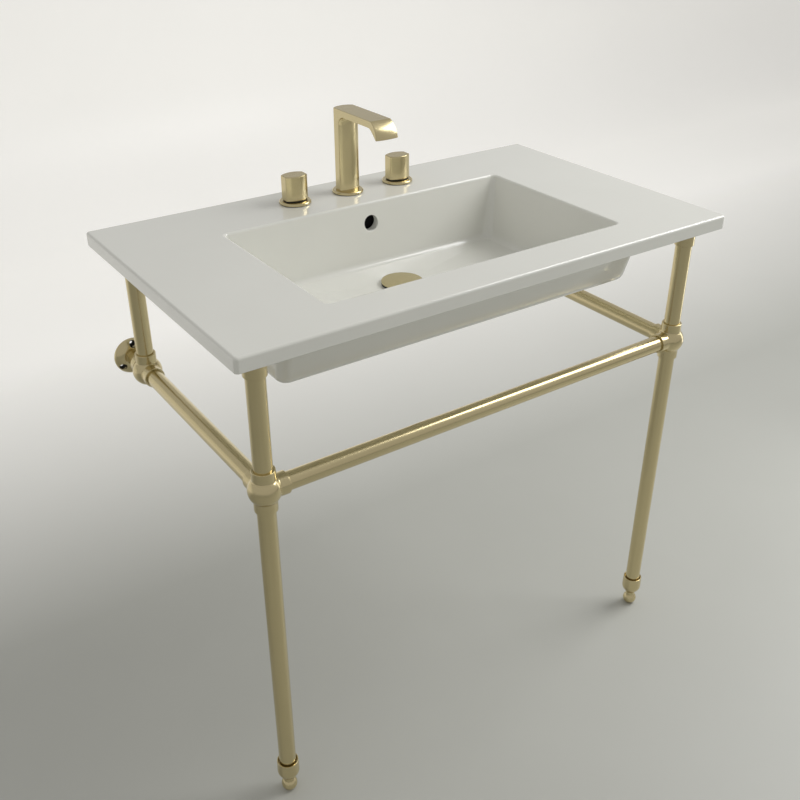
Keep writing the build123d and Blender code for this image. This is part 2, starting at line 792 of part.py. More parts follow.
def wall_flange(x):
    """A domed wall plate with a spigot for the rear fitting and three screw holes."""
    base = Plane(origin=(x, wall_y, rail_height), x_dir=(1, 0, 0), z_dir=(0, -1, 0))
    side = Plane(origin=base.origin, x_dir=base.x_dir, z_dir=-base.y_dir)
    spigot = rear_post_from_wall - socket_stop
    rim, neck = wall_flange_width * half, wall_flange_neck * half
    rise = wall_flange_height - wall_flange_rim
    chord = sqrt((rim - neck) ** 2 + rise ** 2)
    bulge = ((rim + neck) * half + wall_flange_bulge * rise / chord,
             (wall_flange_rim + wall_flange_height) * half + wall_flange_bulge * (rim - neck) / chord)
    with BuildPart() as piece:
        with BuildSketch(side):
            with BuildLine():
                Polyline((tube_bore * half, wall_flange_rim), (0, wall_flange_rim), (0, 0),
                         (rim - wall_flange_edge, 0), (rim, wall_flange_edge), (rim, wall_flange_rim))
                ThreePointArc((rim, wall_flange_rim), bulge, (neck, wall_flange_height))
                Polyline((neck, wall_flange_height), (tube_width * half, wall_flange_height),
                         (tube_width * half, spigot), (tube_bore * half, spigot),
                         (tube_bore * half, wall_flange_rim))
            make_face()
        revolve(axis=Axis(base.origin, base.z_dir))
        for turn in range(wall_screws):
            angle = pi * (half + 2 * turn / wall_screws)
            centre = base.from_local_coords((wall_screw_circle * half * cos(angle),
                                             wall_screw_circle * half * sin(angle), 0))
            hole = Plane(origin=centre, x_dir=base.x_dir, z_dir=base.z_dir)
            sink = (wall_screw_head - wall_screw_hole) * half
            add(turned(hole, [
                (0, 0),
                (wall_screw_hole * half, 0),
                (wall_screw_hole * half, wall_screw_seat - sink),
                (wall_screw_head * half, wall_screw_seat),
                (wall_screw_head * half, wall_flange_height),
                (0, wall_flange_height),
            ]).part, mode=Mode.SUBTRACT)
    return piece


def post_cap(x, y):
    """A blind ferrule that carries the deck on top of a post."""
    top = level(pad_z, x, y)
    with BuildPart() as piece:
        with BuildSketch(top):
            Circle(post_cap_width * half)
        extrude(amount=-post_cap_height)
        fillet(piece.edges().filter_by(GeomType.CIRCLE), socket_edge)
        with BuildSketch(top.offset(-post_cap_height)):
            Circle(tube_width * half + tube_gap)
        extrude(amount=post_cap_height - post_cap_roof, mode=Mode.SUBTRACT)
    return piece


screw_seats = []
for name, side in (("left", -1), ("right", 1)):
    x = side * leg_x
    inward = (-side, 0, 0)
    front_centre, rear_centre = (x, leg_y, rail_height), (x, rear_y, rail_height)
    front_arms = [(up, back), (down, back), (back, down), (inward, down)]
    rear_arms = [(up, inward), (front, down), (back, down)]
    save(ball_fitting(front_centre, front_arms), f"{name}_front_fitting")
    save(ball_fitting(rear_centre, rear_arms), f"{name}_rear_fitting")
    screw_seats += [screw_seat(front_centre, arm, screw) for arm, screw in front_arms]
    screw_seats += [screw_seat(rear_centre, arm, screw) for arm, screw in rear_arms]
    save(wall_flange(x), f"{name}_wall_flange")
    post_z = rail_height + socket_stop
    save(tube((x, leg_y, post_z), up, post_top - post_z), f"{name}_front_post")
    save(tube((x, rear_y, post_z), up, post_top - post_z), f"{name}_rear_post")
    save(tube((x, leg_y + socket_stop, rail_height), back, rear_y - leg_y - 2 * socket_stop),
         f"{name}_side_rail")
    leg_z = foot_cup_above + foot_cup_floor
    save(tube((x, leg_y, leg_z), up, rail_height - socket_stop - leg_z), f"{name}_leg")
    save(post_cap(x, leg_y), f"{name}_front_post_cap")
    save(post_cap(x, rear_y), f"{name}_rear_post_cap")
save(tube((socket_stop - leg_x, leg_y, rail_height), (1, 0, 0), 2 * (leg_x - socket_stop)), "front_rail")

with BuildPart() as fitting_set_screws:
    for seat in screw_seats:
        add(grub_screw(seat, grub_width, (socket_width - tube_width) * half).part)
save(fitting_set_screws, "fitting_set_screws")

with BuildPart() as deck_pads:
    with BuildSketch(level(pad_z, 0, (leg_y + rear_y) * half)):
        with GridLocations(2 * leg_x, rear_y - leg_y, 2, 2):
            Circle(pad_width * half)
    extrude(amount=pad_thick)
save(deck_pads, "deck_pads")


# Feet: a barrel cup on the end of each leg, and a ball that screws down out of it
def foot_cup(x):
    """A barrel-shaped cup with an open mouth round the leg and a floor for the foot's thread."""
    base = level(foot_cup_above, x, leg_y)
    side = Plane(origin=base.origin, x_dir=base.x_dir, z_dir=-base.y_dir)
    mouth_z = foot_cup_height - foot_cup_recess_deep
    with BuildPart() as piece:
        with BuildSketch(side):
            with BuildLine():
                Polyline((tube_width * half + tube_gap, mouth_z),
                         (tube_width * half + tube_gap, foot_cup_floor),
                         (foot_stem_width * half + foot_stem_gap, foot_cup_floor),
                         (foot_stem_width * half + foot_stem_gap, 0),
                         (foot_cup_base * half, 0))
                Spline((foot_cup_base * half, 0), (foot_cup_width * half, foot_cup_belly),
                       (foot_cup_mouth * half, foot_cup_height))
                Polyline((foot_cup_mouth * half, foot_cup_height),
                         (foot_cup_recess * half, foot_cup_height),
                         (foot_cup_recess * half, mouth_z),
                         (tube_width * half + tube_gap, mouth_z))
            make_face()
        revolve(axis=Axis(base.origin, base.z_dir))
    return piece


def foot(x):
    """A ball with a flat to stand on, a short neck and a threaded stem."""
    ball, flat, neck = foot_ball_width * half, foot_flat_width * half, foot_neck_width * half
    ball_z = sqrt(ball ** 2 - flat ** 2)
    stem_end = foot_cup_above + foot_cup_floor + foot_stem_above
    with BuildPart() as piece:
        with BuildSketch(Plane(origin=(x, leg_y, 0), x_dir=(1, 0, 0), z_dir=(0, -1, 0))):
            with BuildLine():
                Polyline((0, 0), (flat, 0))
                ThreePointArc((flat, 0), (ball, ball_z), (neck, ball_z + sqrt(ball ** 2 - neck ** 2)))
                Polyline((neck, ball_z + sqrt(ball ** 2 - neck ** 2)), (neck, foot_cup_above),
                         (foot_stem_width * half, foot_cup_above), (foot_stem_width * half, stem_end),
                         (0, stem_end), (0, 0))
            make_face()
        revolve(axis=Axis((x, leg_y, 0), up))
    return piece


for name, side in (("left", -1), ("right", 1)):
    save(foot_cup(side * leg_x), f"{name}_foot_cup")
    save(foot(side * leg_x), f"{name}_foot")
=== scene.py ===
# %% [markdown]
# # A console washbasin on a brass frame
# The imported model is the skeleton: every piece made here takes its place from it, in metres, and
# rides on one of its bodies.

from math import atan2, cos, pi, radians, sin, sqrt

import bmesh
import bpy
import numpy as np
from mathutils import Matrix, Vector


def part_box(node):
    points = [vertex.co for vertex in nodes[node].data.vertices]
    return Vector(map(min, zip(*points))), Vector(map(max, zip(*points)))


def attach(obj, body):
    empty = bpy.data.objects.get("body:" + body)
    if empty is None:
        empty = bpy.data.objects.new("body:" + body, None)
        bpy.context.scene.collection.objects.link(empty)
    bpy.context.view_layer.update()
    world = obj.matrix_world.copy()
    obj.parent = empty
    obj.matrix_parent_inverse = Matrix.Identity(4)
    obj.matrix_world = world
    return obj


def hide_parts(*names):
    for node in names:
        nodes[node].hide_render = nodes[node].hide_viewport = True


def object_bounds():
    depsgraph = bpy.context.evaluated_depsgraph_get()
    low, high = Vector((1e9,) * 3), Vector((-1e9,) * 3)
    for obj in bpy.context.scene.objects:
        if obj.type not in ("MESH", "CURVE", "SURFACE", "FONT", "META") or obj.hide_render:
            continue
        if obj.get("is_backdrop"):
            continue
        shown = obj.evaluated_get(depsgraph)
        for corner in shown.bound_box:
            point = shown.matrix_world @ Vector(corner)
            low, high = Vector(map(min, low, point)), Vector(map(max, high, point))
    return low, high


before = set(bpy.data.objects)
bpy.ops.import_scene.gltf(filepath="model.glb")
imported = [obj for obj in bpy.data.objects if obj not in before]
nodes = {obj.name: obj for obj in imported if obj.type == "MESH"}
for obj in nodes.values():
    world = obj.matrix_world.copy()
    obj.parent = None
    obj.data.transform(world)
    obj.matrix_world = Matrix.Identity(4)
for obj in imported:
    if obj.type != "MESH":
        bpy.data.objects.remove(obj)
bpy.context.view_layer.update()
mm = 0.001

# %% [markdown]
# ## Camera
# The camera stands in front of the left corner and looks down by thirty degrees. Its place and lens
# were worked out from the deck's corners, the ball fittings and the feet.

# %% Camera
camera_place = (-0.8393, -1.1786, 1.3352)
camera_pitch, camera_yaw = radians(-30.16), radians(34.68)
camera_lens, camera_sensor, camera_near = 43.74, 36, 0.02

camera = bpy.data.objects.new("camera", bpy.data.cameras.new("camera"))
bpy.context.scene.collection.objects.link(camera)
camera.data.lens = camera_lens
camera.data.sensor_width = camera_sensor
camera.data.clip_start = camera_near
camera.location = camera_place
camera.rotation_euler = (pi / 2 + camera_pitch, 0, -camera_yaw)
bpy.context.scene.camera = camera
bpy.context.scene.view_settings.view_transform = "Standard"
print("camera at", camera_place, "with lens", camera_lens)

# %% [markdown]
# ## Surfaces from arrays
# A smooth piece is a grid of points worked out by a formula. Rows of the grid are joined to the next
# row by four-sided faces, a row can close on itself, and the first or last row can be drawn together
# at a pole. One helper turns such a grid into a mesh, and each piece below is one or more grids.

# %% Grid helpers
weld = 0.001 * mm


def grid_faces(rows, columns, wrap_columns=True, wrap_rows=False, first=0):
    """Four corners of each cell of a grid: index = row * columns + column, with optional wrap."""
    r = np.arange(rows if wrap_rows else rows - 1)[:, None]
    c = np.arange(columns if wrap_columns else columns - 1)[None, :]
    r2, c2 = (r + 1) % rows, (c + 1) % columns
    quads = np.stack([r * columns + c, r * columns + c2, r2 * columns + c2, r2 * columns + c], -1)
    return quads.reshape(-1, 4) + first


class Shell:
    """Grids that are gathered into one mesh, with a brush direction kept for each point."""

    def __init__(self):
        self.points, self.grain, self.faces, self.count = [], [], [], 0

    def add_points(self, points, grain=None):
        """Add loose points; returns the index of the first."""
        points = np.asarray(points, float).reshape(-1, 3)
        if grain is None:
            grain = np.zeros((len(points), 2))
        self.points.append(points)
        self.grain.append(np.asarray(grain, float).reshape(-1, 2))
        self.count += len(points)
        return self.count - len(points)

    def add_grid(self, grid, wrap_columns=True, wrap_rows=False, close_first=False, close_last=False,
                 grain=None):
        """Add a (rows, columns, 3) grid; a closed end gets a pole at the middle of its row."""
        rows, columns = grid.shape[:2]
        first = self.add_points(grid, grain)
        self.faces += grid_faces(rows, columns, wrap_columns, wrap_rows, first).tolist()
        for closed, row in ((close_first, 0), (close_last, rows - 1)):
            if closed:
                ring_grain = None if grain is None else np.asarray(grain)[row].mean(0)
                pole = self.add_points(grid[row].mean(0), ring_grain)
                ring = first + row * columns + np.arange(columns)
                self.faces += [[int(a), int(b), pole] for a, b in zip(ring, np.roll(ring, -1))]
        return first

    def build(self, name, material, body="frame", smooth_angle=35):
        """Make the object, turn its faces outwards, smooth it, and let it ride on a body."""
        mesh = bpy.data.meshes.new(name)
        mesh.from_pydata(np.concatenate(self.points).tolist(), [], self.faces)
        layer = mesh.attributes.new("grain", "FLOAT2", "POINT")
        layer.data.foreach_set("vector", np.concatenate(self.grain).astype(np.float32).ravel())
        work = bmesh.new()
        work.from_mesh(mesh)
        bmesh.ops.remove_doubles(work, verts=work.verts, dist=weld)
        bmesh.ops.dissolve_degenerate(work, edges=work.edges, dist=weld)
        bmesh.ops.recalc_face_normals(work, faces=work.faces)
        work.to_mesh(mesh)
        work.free()
        mesh.polygons.foreach_set("use_smooth", [True] * len(mesh.polygons))
        piece = bpy.data.objects.new(name, mesh)
        bpy.context.scene.collection.objects.link(piece)
        mesh.set_sharp_from_angle(angle=radians(smooth_angle))
        mesh.materials.append(material)
        even_shade(piece)
        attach(piece, body)
        return piece


def even_shade(piece):
    """Let large faces set the normals at their rims, so that a flat face looks flat to its edge."""
    shade = piece.modifiers.new("even shade", "WEIGHTED_NORMAL")
    shade.keep_sharp = True


def dress(piece, node):
    """Let a piece take the place of a CAD node, which is hidden."""
    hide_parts(node)


def quarter(steps):
    """Angles of a quarter turn, from 0 to pi / 2."""
    return np.linspace(0, pi / 2, steps + 1)


# %% [markdown]
# ## Finishes
# Three effects are shared by several finishes, so each is a node group: a fine brushing that runs
# along the piece's own grain, a slow cloud of change in tone, and small specks. Each material places
# them with its own values, and keeps its own shader.

# %% Node helpers
def socket_value(node, name, value):
    """Set one input of a node by its name."""
    node.inputs[name].default_value = value


def group_of(name, inputs, outputs):
    """A new shader group with named inputs and outputs, and its two end nodes."""
    group = bpy.data.node_groups.new(name, "ShaderNodeTree")
    for label, kind, value in inputs:
        socket = group.interface.new_socket(label, in_out="INPUT", socket_type=kind)
        if value is not None:
            socket.default_value = value
    for label, kind in outputs:
        group.interface.new_socket(label, in_out="OUTPUT", socket_type=kind)
    return group, group.nodes.new("NodeGroupInput"), group.nodes.new("NodeGroupOutput")


def math_node(tree, operation, first, second):
    """One arithmetic node; an input is a socket or a number."""
    node = tree.nodes.new("ShaderNodeMath")
    node.operation = operation
    for slot, value in enumerate((first, second)):
        if isinstance(value, bpy.types.NodeSocket):
            tree.links.new(value, node.inputs[slot])
        else:
            node.inputs[slot].default_value = value
    return node.outputs[0]


# %% The shared effects
def brushing_group():
    """Fine lines: noise that is stretched along the grain and packed across it."""
    group, start, end = group_of("fine brushing", [
        ("Grain", "NodeSocketVector", None), ("Across", "NodeSocketFloat", 9000.0),
        ("Along", "NodeSocketFloat", 60.0)],
        [("Lines", "NodeSocketFloat"), ("Bands", "NodeSocketFloat")])
    split = group.nodes.new("ShaderNodeSeparateXYZ")
    group.links.new(start.outputs["Grain"], split.inputs[0])
    across = math_node(group, "MULTIPLY", split.outputs[0], start.outputs["Across"])
    along = math_node(group, "MULTIPLY", split.outputs[1], start.outputs["Along"])
    for label, share in (("Lines", 1.0), ("Bands", 0.12)):
        join = group.nodes.new("ShaderNodeCombineXYZ")
        group.links.new(math_node(group, "MULTIPLY", across, share), join.inputs[0])
        group.links.new(math_node(group, "MULTIPLY", along, share), join.inputs[1])
        noise = group.nodes.new("ShaderNodeTexNoise")
        socket_value(noise, "Scale", 1.0)
        socket_value(noise, "Detail", 3.0)
        group.links.new(join.outputs[0], noise.inputs["Vector"])
        group.links.new(noise.outputs[0], end.inputs[label])
    return group


def cloud_group():
    """A slow change of tone: noise of several sizes at once, about a half."""
    group, start, end = group_of("slow cloud", [
        ("Scale", "NodeSocketFloat", 6.0)], [("Cloud", "NodeSocketFloat")])
    place = group.nodes.new("ShaderNodeTexCoord")
    noise = group.nodes.new("ShaderNodeTexNoise")
    socket_value(noise, "Detail", 4.0)
    socket_value(noise, "Roughness", 0.6)
    group.links.new(place.outputs["Object"], noise.inputs["Vector"])
    group.links.new(start.outputs["Scale"], noise.inputs["Scale"])
    group.links.new(noise.outputs[0], end.inputs["Cloud"])
    return group


def speck_group():
    """Small separate specks: the middles of Voronoi cells, most of them left out."""
    group, start, end = group_of("small specks", [
        ("Scale", "NodeSocketFloat", 400.0), ("Size", "NodeSocketFloat", 0.2)],
        [("Speck", "NodeSocketFloat")])
    place = group.nodes.new("ShaderNodeTexCoord")
    cells = group.nodes.new("ShaderNodeTexVoronoi")
    group.links.new(place.outputs["Object"], cells.inputs["Vector"])
    group.links.new(start.outputs["Scale"], cells.inputs["Scale"])
    split = group.nodes.new("ShaderNodeSeparateColor")
    group.links.new(cells.outputs["Color"], split.inputs[0])
    near = math_node(group, "LESS_THAN", cells.outputs["Distance"], start.outputs["Size"])
    chosen = math_node(group, "GREATER_THAN", split.outputs[0], 0.8)
    group.links.new(math_node(group, "MULTIPLY", near, chosen), end.inputs["Speck"])
    return group


brushing, cloud, specks = brushing_group(), cloud_group(), speck_group()


# %% A finish: colour between two tones, roughness that wanders, and a bump
def place_group(tree, group, **values):
    """Place a shared effect in a material, with this material's own values."""
    node = tree.nodes.new("ShaderNodeGroup")
    node.node_tree = group
    for name, value in values.items():
        node.inputs[name].default_value = value
    return node


def tone_mix(tree, factor, low, high):
    """A colour between two tones, by a factor from 0 to 1."""
    ramp = tree.nodes.new("ShaderNodeValToRGB")
    ramp.color_ramp.elements[0].position = 0.25
    ramp.color_ramp.elements[1].position = 0.75
    ramp.color_ramp.elements[0].color = (*low, 1)
    ramp.color_ramp.elements[1].color = (*high, 1)
    tree.links.new(factor, ramp.inputs[0])
    return ramp.outputs[0]


def spread(tree, factor, low, high):
    """A number between low and high, by a factor from 0 to 1."""
    node = tree.nodes.new("ShaderNodeMapRange")
    socket_value(node, "From Min", 0.25)
    socket_value(node, "From Max", 0.75)
    socket_value(node, "To Min", low)
    socket_value(node, "To Max", high)
    tree.links.new(factor, node.inputs["Value"])
    return node.outputs[0]


def bump(tree, height, distance, strength, below=None):
    """A bump of a real height in metres, on top of another normal if one is given."""
    node = tree.nodes.new("ShaderNodeBump")
    socket_value(node, "Strength", strength)
    socket_value(node, "Distance", distance)
    tree.links.new(height, node.inputs["Height"])
    if below is not None:
        tree.links.new(below, node.inputs["Normal"])
    return node.outputs[0]


def new_material(name):
    """An empty node material; returns it with its tree and its Principled shader."""
    material = bpy.data.materials.new(name)
    material.use_nodes = True
    return material, material.node_tree, material.node_tree.nodes["Principled BSDF"]


def wire(tree, shader, **sources):
    """Join sockets to the shader's inputs, with underscores for the spaces in their names."""
    for name, source in sources.items():
        tree.links.new(source, shader.inputs[name.replace("_", " ")])


# %% [markdown]
# ## Glazed ceramic
# The deck and bowl are fireclay under a thick clear glaze. The glaze is smooth and sharp in its
# reflections, and never quite flat: it waves slowly where it ran, and holds a few pinholes.

# %% Glazed ceramic
def glazed_ceramic():
    """Warm white body, slow waves of 0.1 mm and faint pinholes, under a clear coat."""
    material, tree, shader = new_material("glazed ceramic")
    tone = place_group(tree, cloud, Scale=3.0).outputs[0]
    wave = place_group(tree, cloud, Scale=9.0).outputs[0]
    holes = place_group(tree, specks, Scale=260.0, Size=0.06).outputs[0]
    wire(tree, shader, Base_Color=tone_mix(tree, tone, (0.775, 0.775, 0.72), (0.82, 0.82, 0.765)),
         Roughness=spread(tree, wave, 0.10, 0.17),
         Normal=bump(tree, holes, -0.00006, 0.25, bump(tree, wave, 0.0006, 0.12)))
    socket_value(shader, "Coat Weight", 0.5)
    socket_value(shader, "Coat Roughness", 0.03)
    socket_value(shader, "IOR", 1.5)
    return material


# %% [markdown]
# ## Satin brass
# The tubes, fittings and taps are brass with a pale champagne finish, brushed very finely and sealed.
# Brushing makes each reflection wide across its lines, so the lines change roughness and tilt the
# surface a little. The grain is stored on each piece as it is made, because it goes round a turned
# part and along a tube.

# %% Satin brass and the other metals
def brushed_metal(name, low, high, rough, lines=0.35, across=2200.0, along=30.0):
    """A metal between two tones, brushed along the piece's stored grain."""
    material, tree, shader = new_material(name)
    grain = tree.nodes.new("ShaderNodeAttribute")
    grain.attribute_name = "grain"
    brush = place_group(tree, brushing, Across=across, Along=along)
    tree.links.new(grain.outputs["Vector"], brush.inputs["Grain"])
    tone = place_group(tree, cloud, Scale=14.0).outputs[0]
    mixed = math_node(tree, "ADD", math_node(tree, "MULTIPLY", brush.outputs["Bands"], 0.65),
                      math_node(tree, "MULTIPLY", tone, 0.35))
    wire(tree, shader, Base_Color=tone_mix(tree, mixed, low, high),
         Roughness=spread(tree, mixed, rough - 0.04, rough + 0.05),
         Normal=bump(tree, brush.outputs["Lines"], 0.00002, lines))
    socket_value(shader, "Metallic", 1.0)
    return material


satin_brass = brushed_metal("satin brass", (0.61, 0.52, 0.30), (0.67, 0.575, 0.345), 0.21)
raw_brass = brushed_metal("machined brass", (0.50, 0.36, 0.15), (0.60, 0.45, 0.20), 0.30,
                          lines=0.3, across=2500.0, along=40.0)
ceramic = glazed_ceramic()


def painted_shade_finish():
    """Painted shade inside a hole or duct where no light reaches: near black, with a slow cloud of
    tone.
    """
    material, tree, shader = new_material("painted shade inside")
    tone = place_group(tree, cloud, Scale=90.0).outputs[0]
    wire(tree, shader, Base_Color=tone_mix(tree, tone, (0.006, 0.006, 0.006), (0.014, 0.013, 0.012)),
         Roughness=spread(tree, tone, 0.7, 0.9))
    return material


painted_shade_inside = painted_shade_finish()
print("finishes", [material.name for material in (ceramic, satin_brass, raw_brass, painted_shade_inside)])

# %% [markdown]
# ## The basin
# Deck, bowl and outer box are one casting, so they are one closed surface. It is a family of closed
# loops that starts in the waste hole, spreads over the bowl's floor, climbs its walls, crosses the
# deck, turns under it and comes back under the box to the waste hole. Most loops are rectangles with
# round corners; those near the waste are circles, and the floor is a blend of the two. Every edge
# is a quarter turn of its own radius.

# %% Sizes of the basin, in metres
deck_low, deck_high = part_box("basin")
deck_top, deck_half_width, deck_half_depth = deck_high.z, deck_high.x, deck_high.y
deck_thick = 22 * mm
deck_corner, deck_top_round, deck_under_round, least_corner = 6 * mm, 4 * mm, 1.5 * mm, 0.5 * mm

mouth_half_width, mouth_half_length, mouth_y = 264.5 * mm, 153 * mm, -30 * mm
bowl_deep, bowl_fall = 107 * mm, 5 * mm
side_inset, back_inset, front_inset = 20 * mm, 15 * mm, 40 * mm
mouth_corner, floor_corner, floor_round, lip_round = 8 * mm, 18 * mm, 10 * mm, 3.5 * mm

box_bottom = deck_top - 119 * mm
box_half_width, box_lean = 325 * mm, 8 * mm
box_front, box_front_lean, box_back = -156 * mm, 26 * mm, 152 * mm
box_corner, box_edge_round, box_root_round = 18 * mm, 12 * mm, 5 * mm
keel_half_width, keel_edge, keel_corner = 25 * mm, 4 * mm, 6 * mm

waste_y = 28 * mm
waste_radius, seat_radius, boss_radius, boss_bottom = 23 * mm, 38 * mm, 42 * mm, deck_low.z
overflow_z, overflow_radius, overflow_rim = deck_top - 35 * mm, 13 * mm, 1.2 * mm
duct_front_y, duct_back_y, duct_half_width = 130 * mm, 142 * mm, 15 * mm
duct_up, duct_down = 16 * mm, 80 * mm
block_half_width, block_top, block_bottom = 20 * mm, 17 * mm, 53 * mm
shade_margin, shade_film = 1 * mm, 0.1 * mm


# %% Loops: rectangles with round corners, circles, and blends of the two
def loop_weights(corner_cells, long_shares, short_shares):
    """Weights of each point of a rounded rectangle.

    A point is centre + u * (half size - corner radius) + v * corner radius, for X and for Y.
    """
    u, v = [], []
    quarter_turn = np.linspace(0, pi / 2, corner_cells + 1)[:-1]
    signs = ((1, 1), (-1, 1), (-1, -1), (1, -1))
    for turn, (sx, sy) in enumerate(signs):
        angles = quarter_turn + turn * pi / 2
        u.append(np.tile((sx, sy), (corner_cells, 1)))
        v.append(np.stack([np.cos(angles), np.sin(angles)], -1))
        nx, ny = signs[(turn + 1) % 4]
        share = (long_shares if turn % 2 == 0 else short_shares)[:-1, None]
        u.append(np.array((sx, sy)) * (1 - share) + np.array((nx, ny)) * share)
        flat = np.array(((sx + nx) / 2, (sy + ny) / 2))
        v.append(np.tile(flat, (len(share), 1)))
    return np.concatenate(u), np.concatenate(v)


corner_cells, side_cells, block_cells, end_cells, below_cells = 12, 14, 12, 20, 8
block_share = block_half_width / (mouth_half_width - mouth_corner)
block_from, block_to = (1 - block_share) / 2, (1 + block_share) / 2
long_shares = np.concatenate([np.linspace(0, block_from, side_cells + 1)[:-1],
                              np.linspace(block_from, block_to, block_cells + 1)[:-1],
                              np.linspace(block_to, 1, side_cells + 1)])
loop_u, loop_v = loop_weights(corner_cells, long_shares, np.linspace(0, 1, end_cells + 1))


def rounded(cx, cy, half_width, half_length, corner, z):
    """One rectangle with round corners at a height."""
    half = np.array((half_width, half_length)) - corner
    flat = np.array((cx, cy)) + loop_u * half + loop_v * corner
    return np.column_stack([flat, np.full(len(flat), z)])


def bowl_loop(depth, tuck=0.0, corner=None):
    """The bowl's loop at a depth: its walls lean in with depth, and the tuck draws it in further."""
    share = depth / bowl_deep
    if corner is None:
        corner = mouth_corner + (floor_corner - mouth_corner) * share
    length = mouth_half_length - (front_inset + back_inset) / 2 * share - tuck
    middle = mouth_y + (front_inset - back_inset) / 2 * share
    return rounded(0, middle, mouth_half_width - side_inset * share - tuck, length, corner,
                   deck_top - depth)


floor_loop = bowl_loop(bowl_deep, floor_round, floor_corner - floor_round)
waste_angles = np.arctan2(floor_loop[:, 1] - waste_y, floor_loop[:, 0])


def round_loop(radius, z):
    """A circle about the waste, with its points in the directions of the floor's points."""
    return np.column_stack([radius * np.cos(waste_angles), waste_y + radius * np.sin(waste_angles),
                            np.full(len(waste_angles), z)])


def deck_loop(inset, z):
    """The deck's outline, drawn in by an inset."""
    return rounded(0, 0, deck_half_width - inset, deck_half_depth - inset,
                   max(deck_corner - inset, least_corner), z)


def box_loop(z, out=0.0):
    """The outer box at a height: its front and sides lean out towards the deck."""
    share = np.clip((z - box_bottom) / (deck_top - deck_thick - box_bottom), 0, 1)
    front = box_front - box_front_lean * share
    return rounded(0, (front + box_back) / 2, box_half_width + box_lean * share + out,
                   (box_back - front) / 2 + out, box_corner + out, z)


# %% The family of loops: waste hole, bowl and lip
seat_z = deck_top - bowl_deep - bowl_fall
deck_under = deck_top - deck_thick
edge, support = 1.5 * mm, 0.6 * mm
turns = quarter(6)
floor_shares = (0.03, 0.1, 0.25, 0.45, 0.65, 0.85)

loops = [round_loop(waste_radius + edge * (1 - sin(a)), boss_bottom + edge * (1 - cos(a)))
         for a in turns]
loops += [round_loop(waste_radius + edge * (1 - cos(a)), seat_z - edge * (1 - sin(a)))
          for a in turns]
loops += [round_loop(seat_radius * share, seat_z) for share in (0.8, 1.0)]
seat_loop = loops[-1]
loops += [seat_loop * (1 - share) + floor_loop * share for share in floor_shares]
for a in np.linspace(pi / 2, 0, 9):
    tuck = floor_round * (1 - cos(a))
    loops.append(bowl_loop(bowl_deep - floor_round * (1 - sin(a)), tuck, floor_corner - tuck))
block_first = len(loops) + below_cells - 1
wall_depths = np.concatenate([
    np.linspace(bowl_deep - floor_round, block_bottom, below_cells + 1)[1:],
    np.linspace(block_bottom, block_top, block_cells + 1)[1:],
    np.linspace(block_top, lip_round, 4)[1:]])
loops += [bowl_loop(depth) for depth in wall_depths]
for a in turns[1:]:
    out = lip_round * (1 - cos(a))
    loops.append(bowl_loop(lip_round * (1 - sin(a)), -out, mouth_corner + out))
loops.append(bowl_loop(0, -lip_round - support, mouth_corner + lip_round + support))
print("bowl loops", len(loops))

# %% The family of loops: deck, outer box and boss
top_flat, under_flat = deck_top - deck_top_round - support, deck_under + deck_under_round + support
loops.append(deck_loop(deck_top_round + support, deck_top))
loops += [deck_loop(deck_top_round * (1 - sin(a)), deck_top - deck_top_round * (1 - cos(a)))
          for a in turns]
loops += [deck_loop(0, z) for z in (top_flat, under_flat)]
loops += [deck_loop(deck_under_round * (1 - cos(a)), deck_under + deck_under_round * (1 - sin(a)))
          for a in turns]
loops.append(deck_loop(deck_under_round + support, deck_under))
loops.append(box_loop(deck_under, box_root_round + support))
loops += [box_loop(deck_under - box_root_round * (1 - cos(a)), box_root_round * (1 - sin(a)))
          for a in turns]
loops += [box_loop(z) for z in
          np.linspace(deck_under - box_root_round, box_bottom + box_edge_round, 5)[1:]]
loops += [box_loop(box_bottom + box_edge_round * (1 - sin(a)), -box_edge_round * (1 - cos(a)))
          for a in quarter(8)[1:]]
box_floor_loop = box_loop(box_bottom, -box_edge_round - support)
boss_root = round_loop(boss_radius + 2 * edge, box_bottom)
loops += [box_floor_loop * (1 - share) + boss_root * share for share in (0, 0.3, 0.6, 0.9)]
loops += [round_loop(boss_radius + edge * (1 - sin(a)), box_bottom - edge * (1 - cos(a)))
          for a in turns]
loops += [round_loop(boss_radius - edge * (1 - cos(a)), boss_bottom + edge * (1 - sin(a)))
          for a in turns]
loops.append(round_loop(waste_radius + edge + support, boss_bottom))
loops = np.array(loops)
print("basin loops", loops.shape)


# %% The overflow hole: a square block of the back wall gives way to rings round the hole
def back_wall_y(z):
    """The bowl's back wall is a plane that leans in with depth."""
    return mouth_y + mouth_half_length - back_inset * (deck_top - z) / bowl_deep


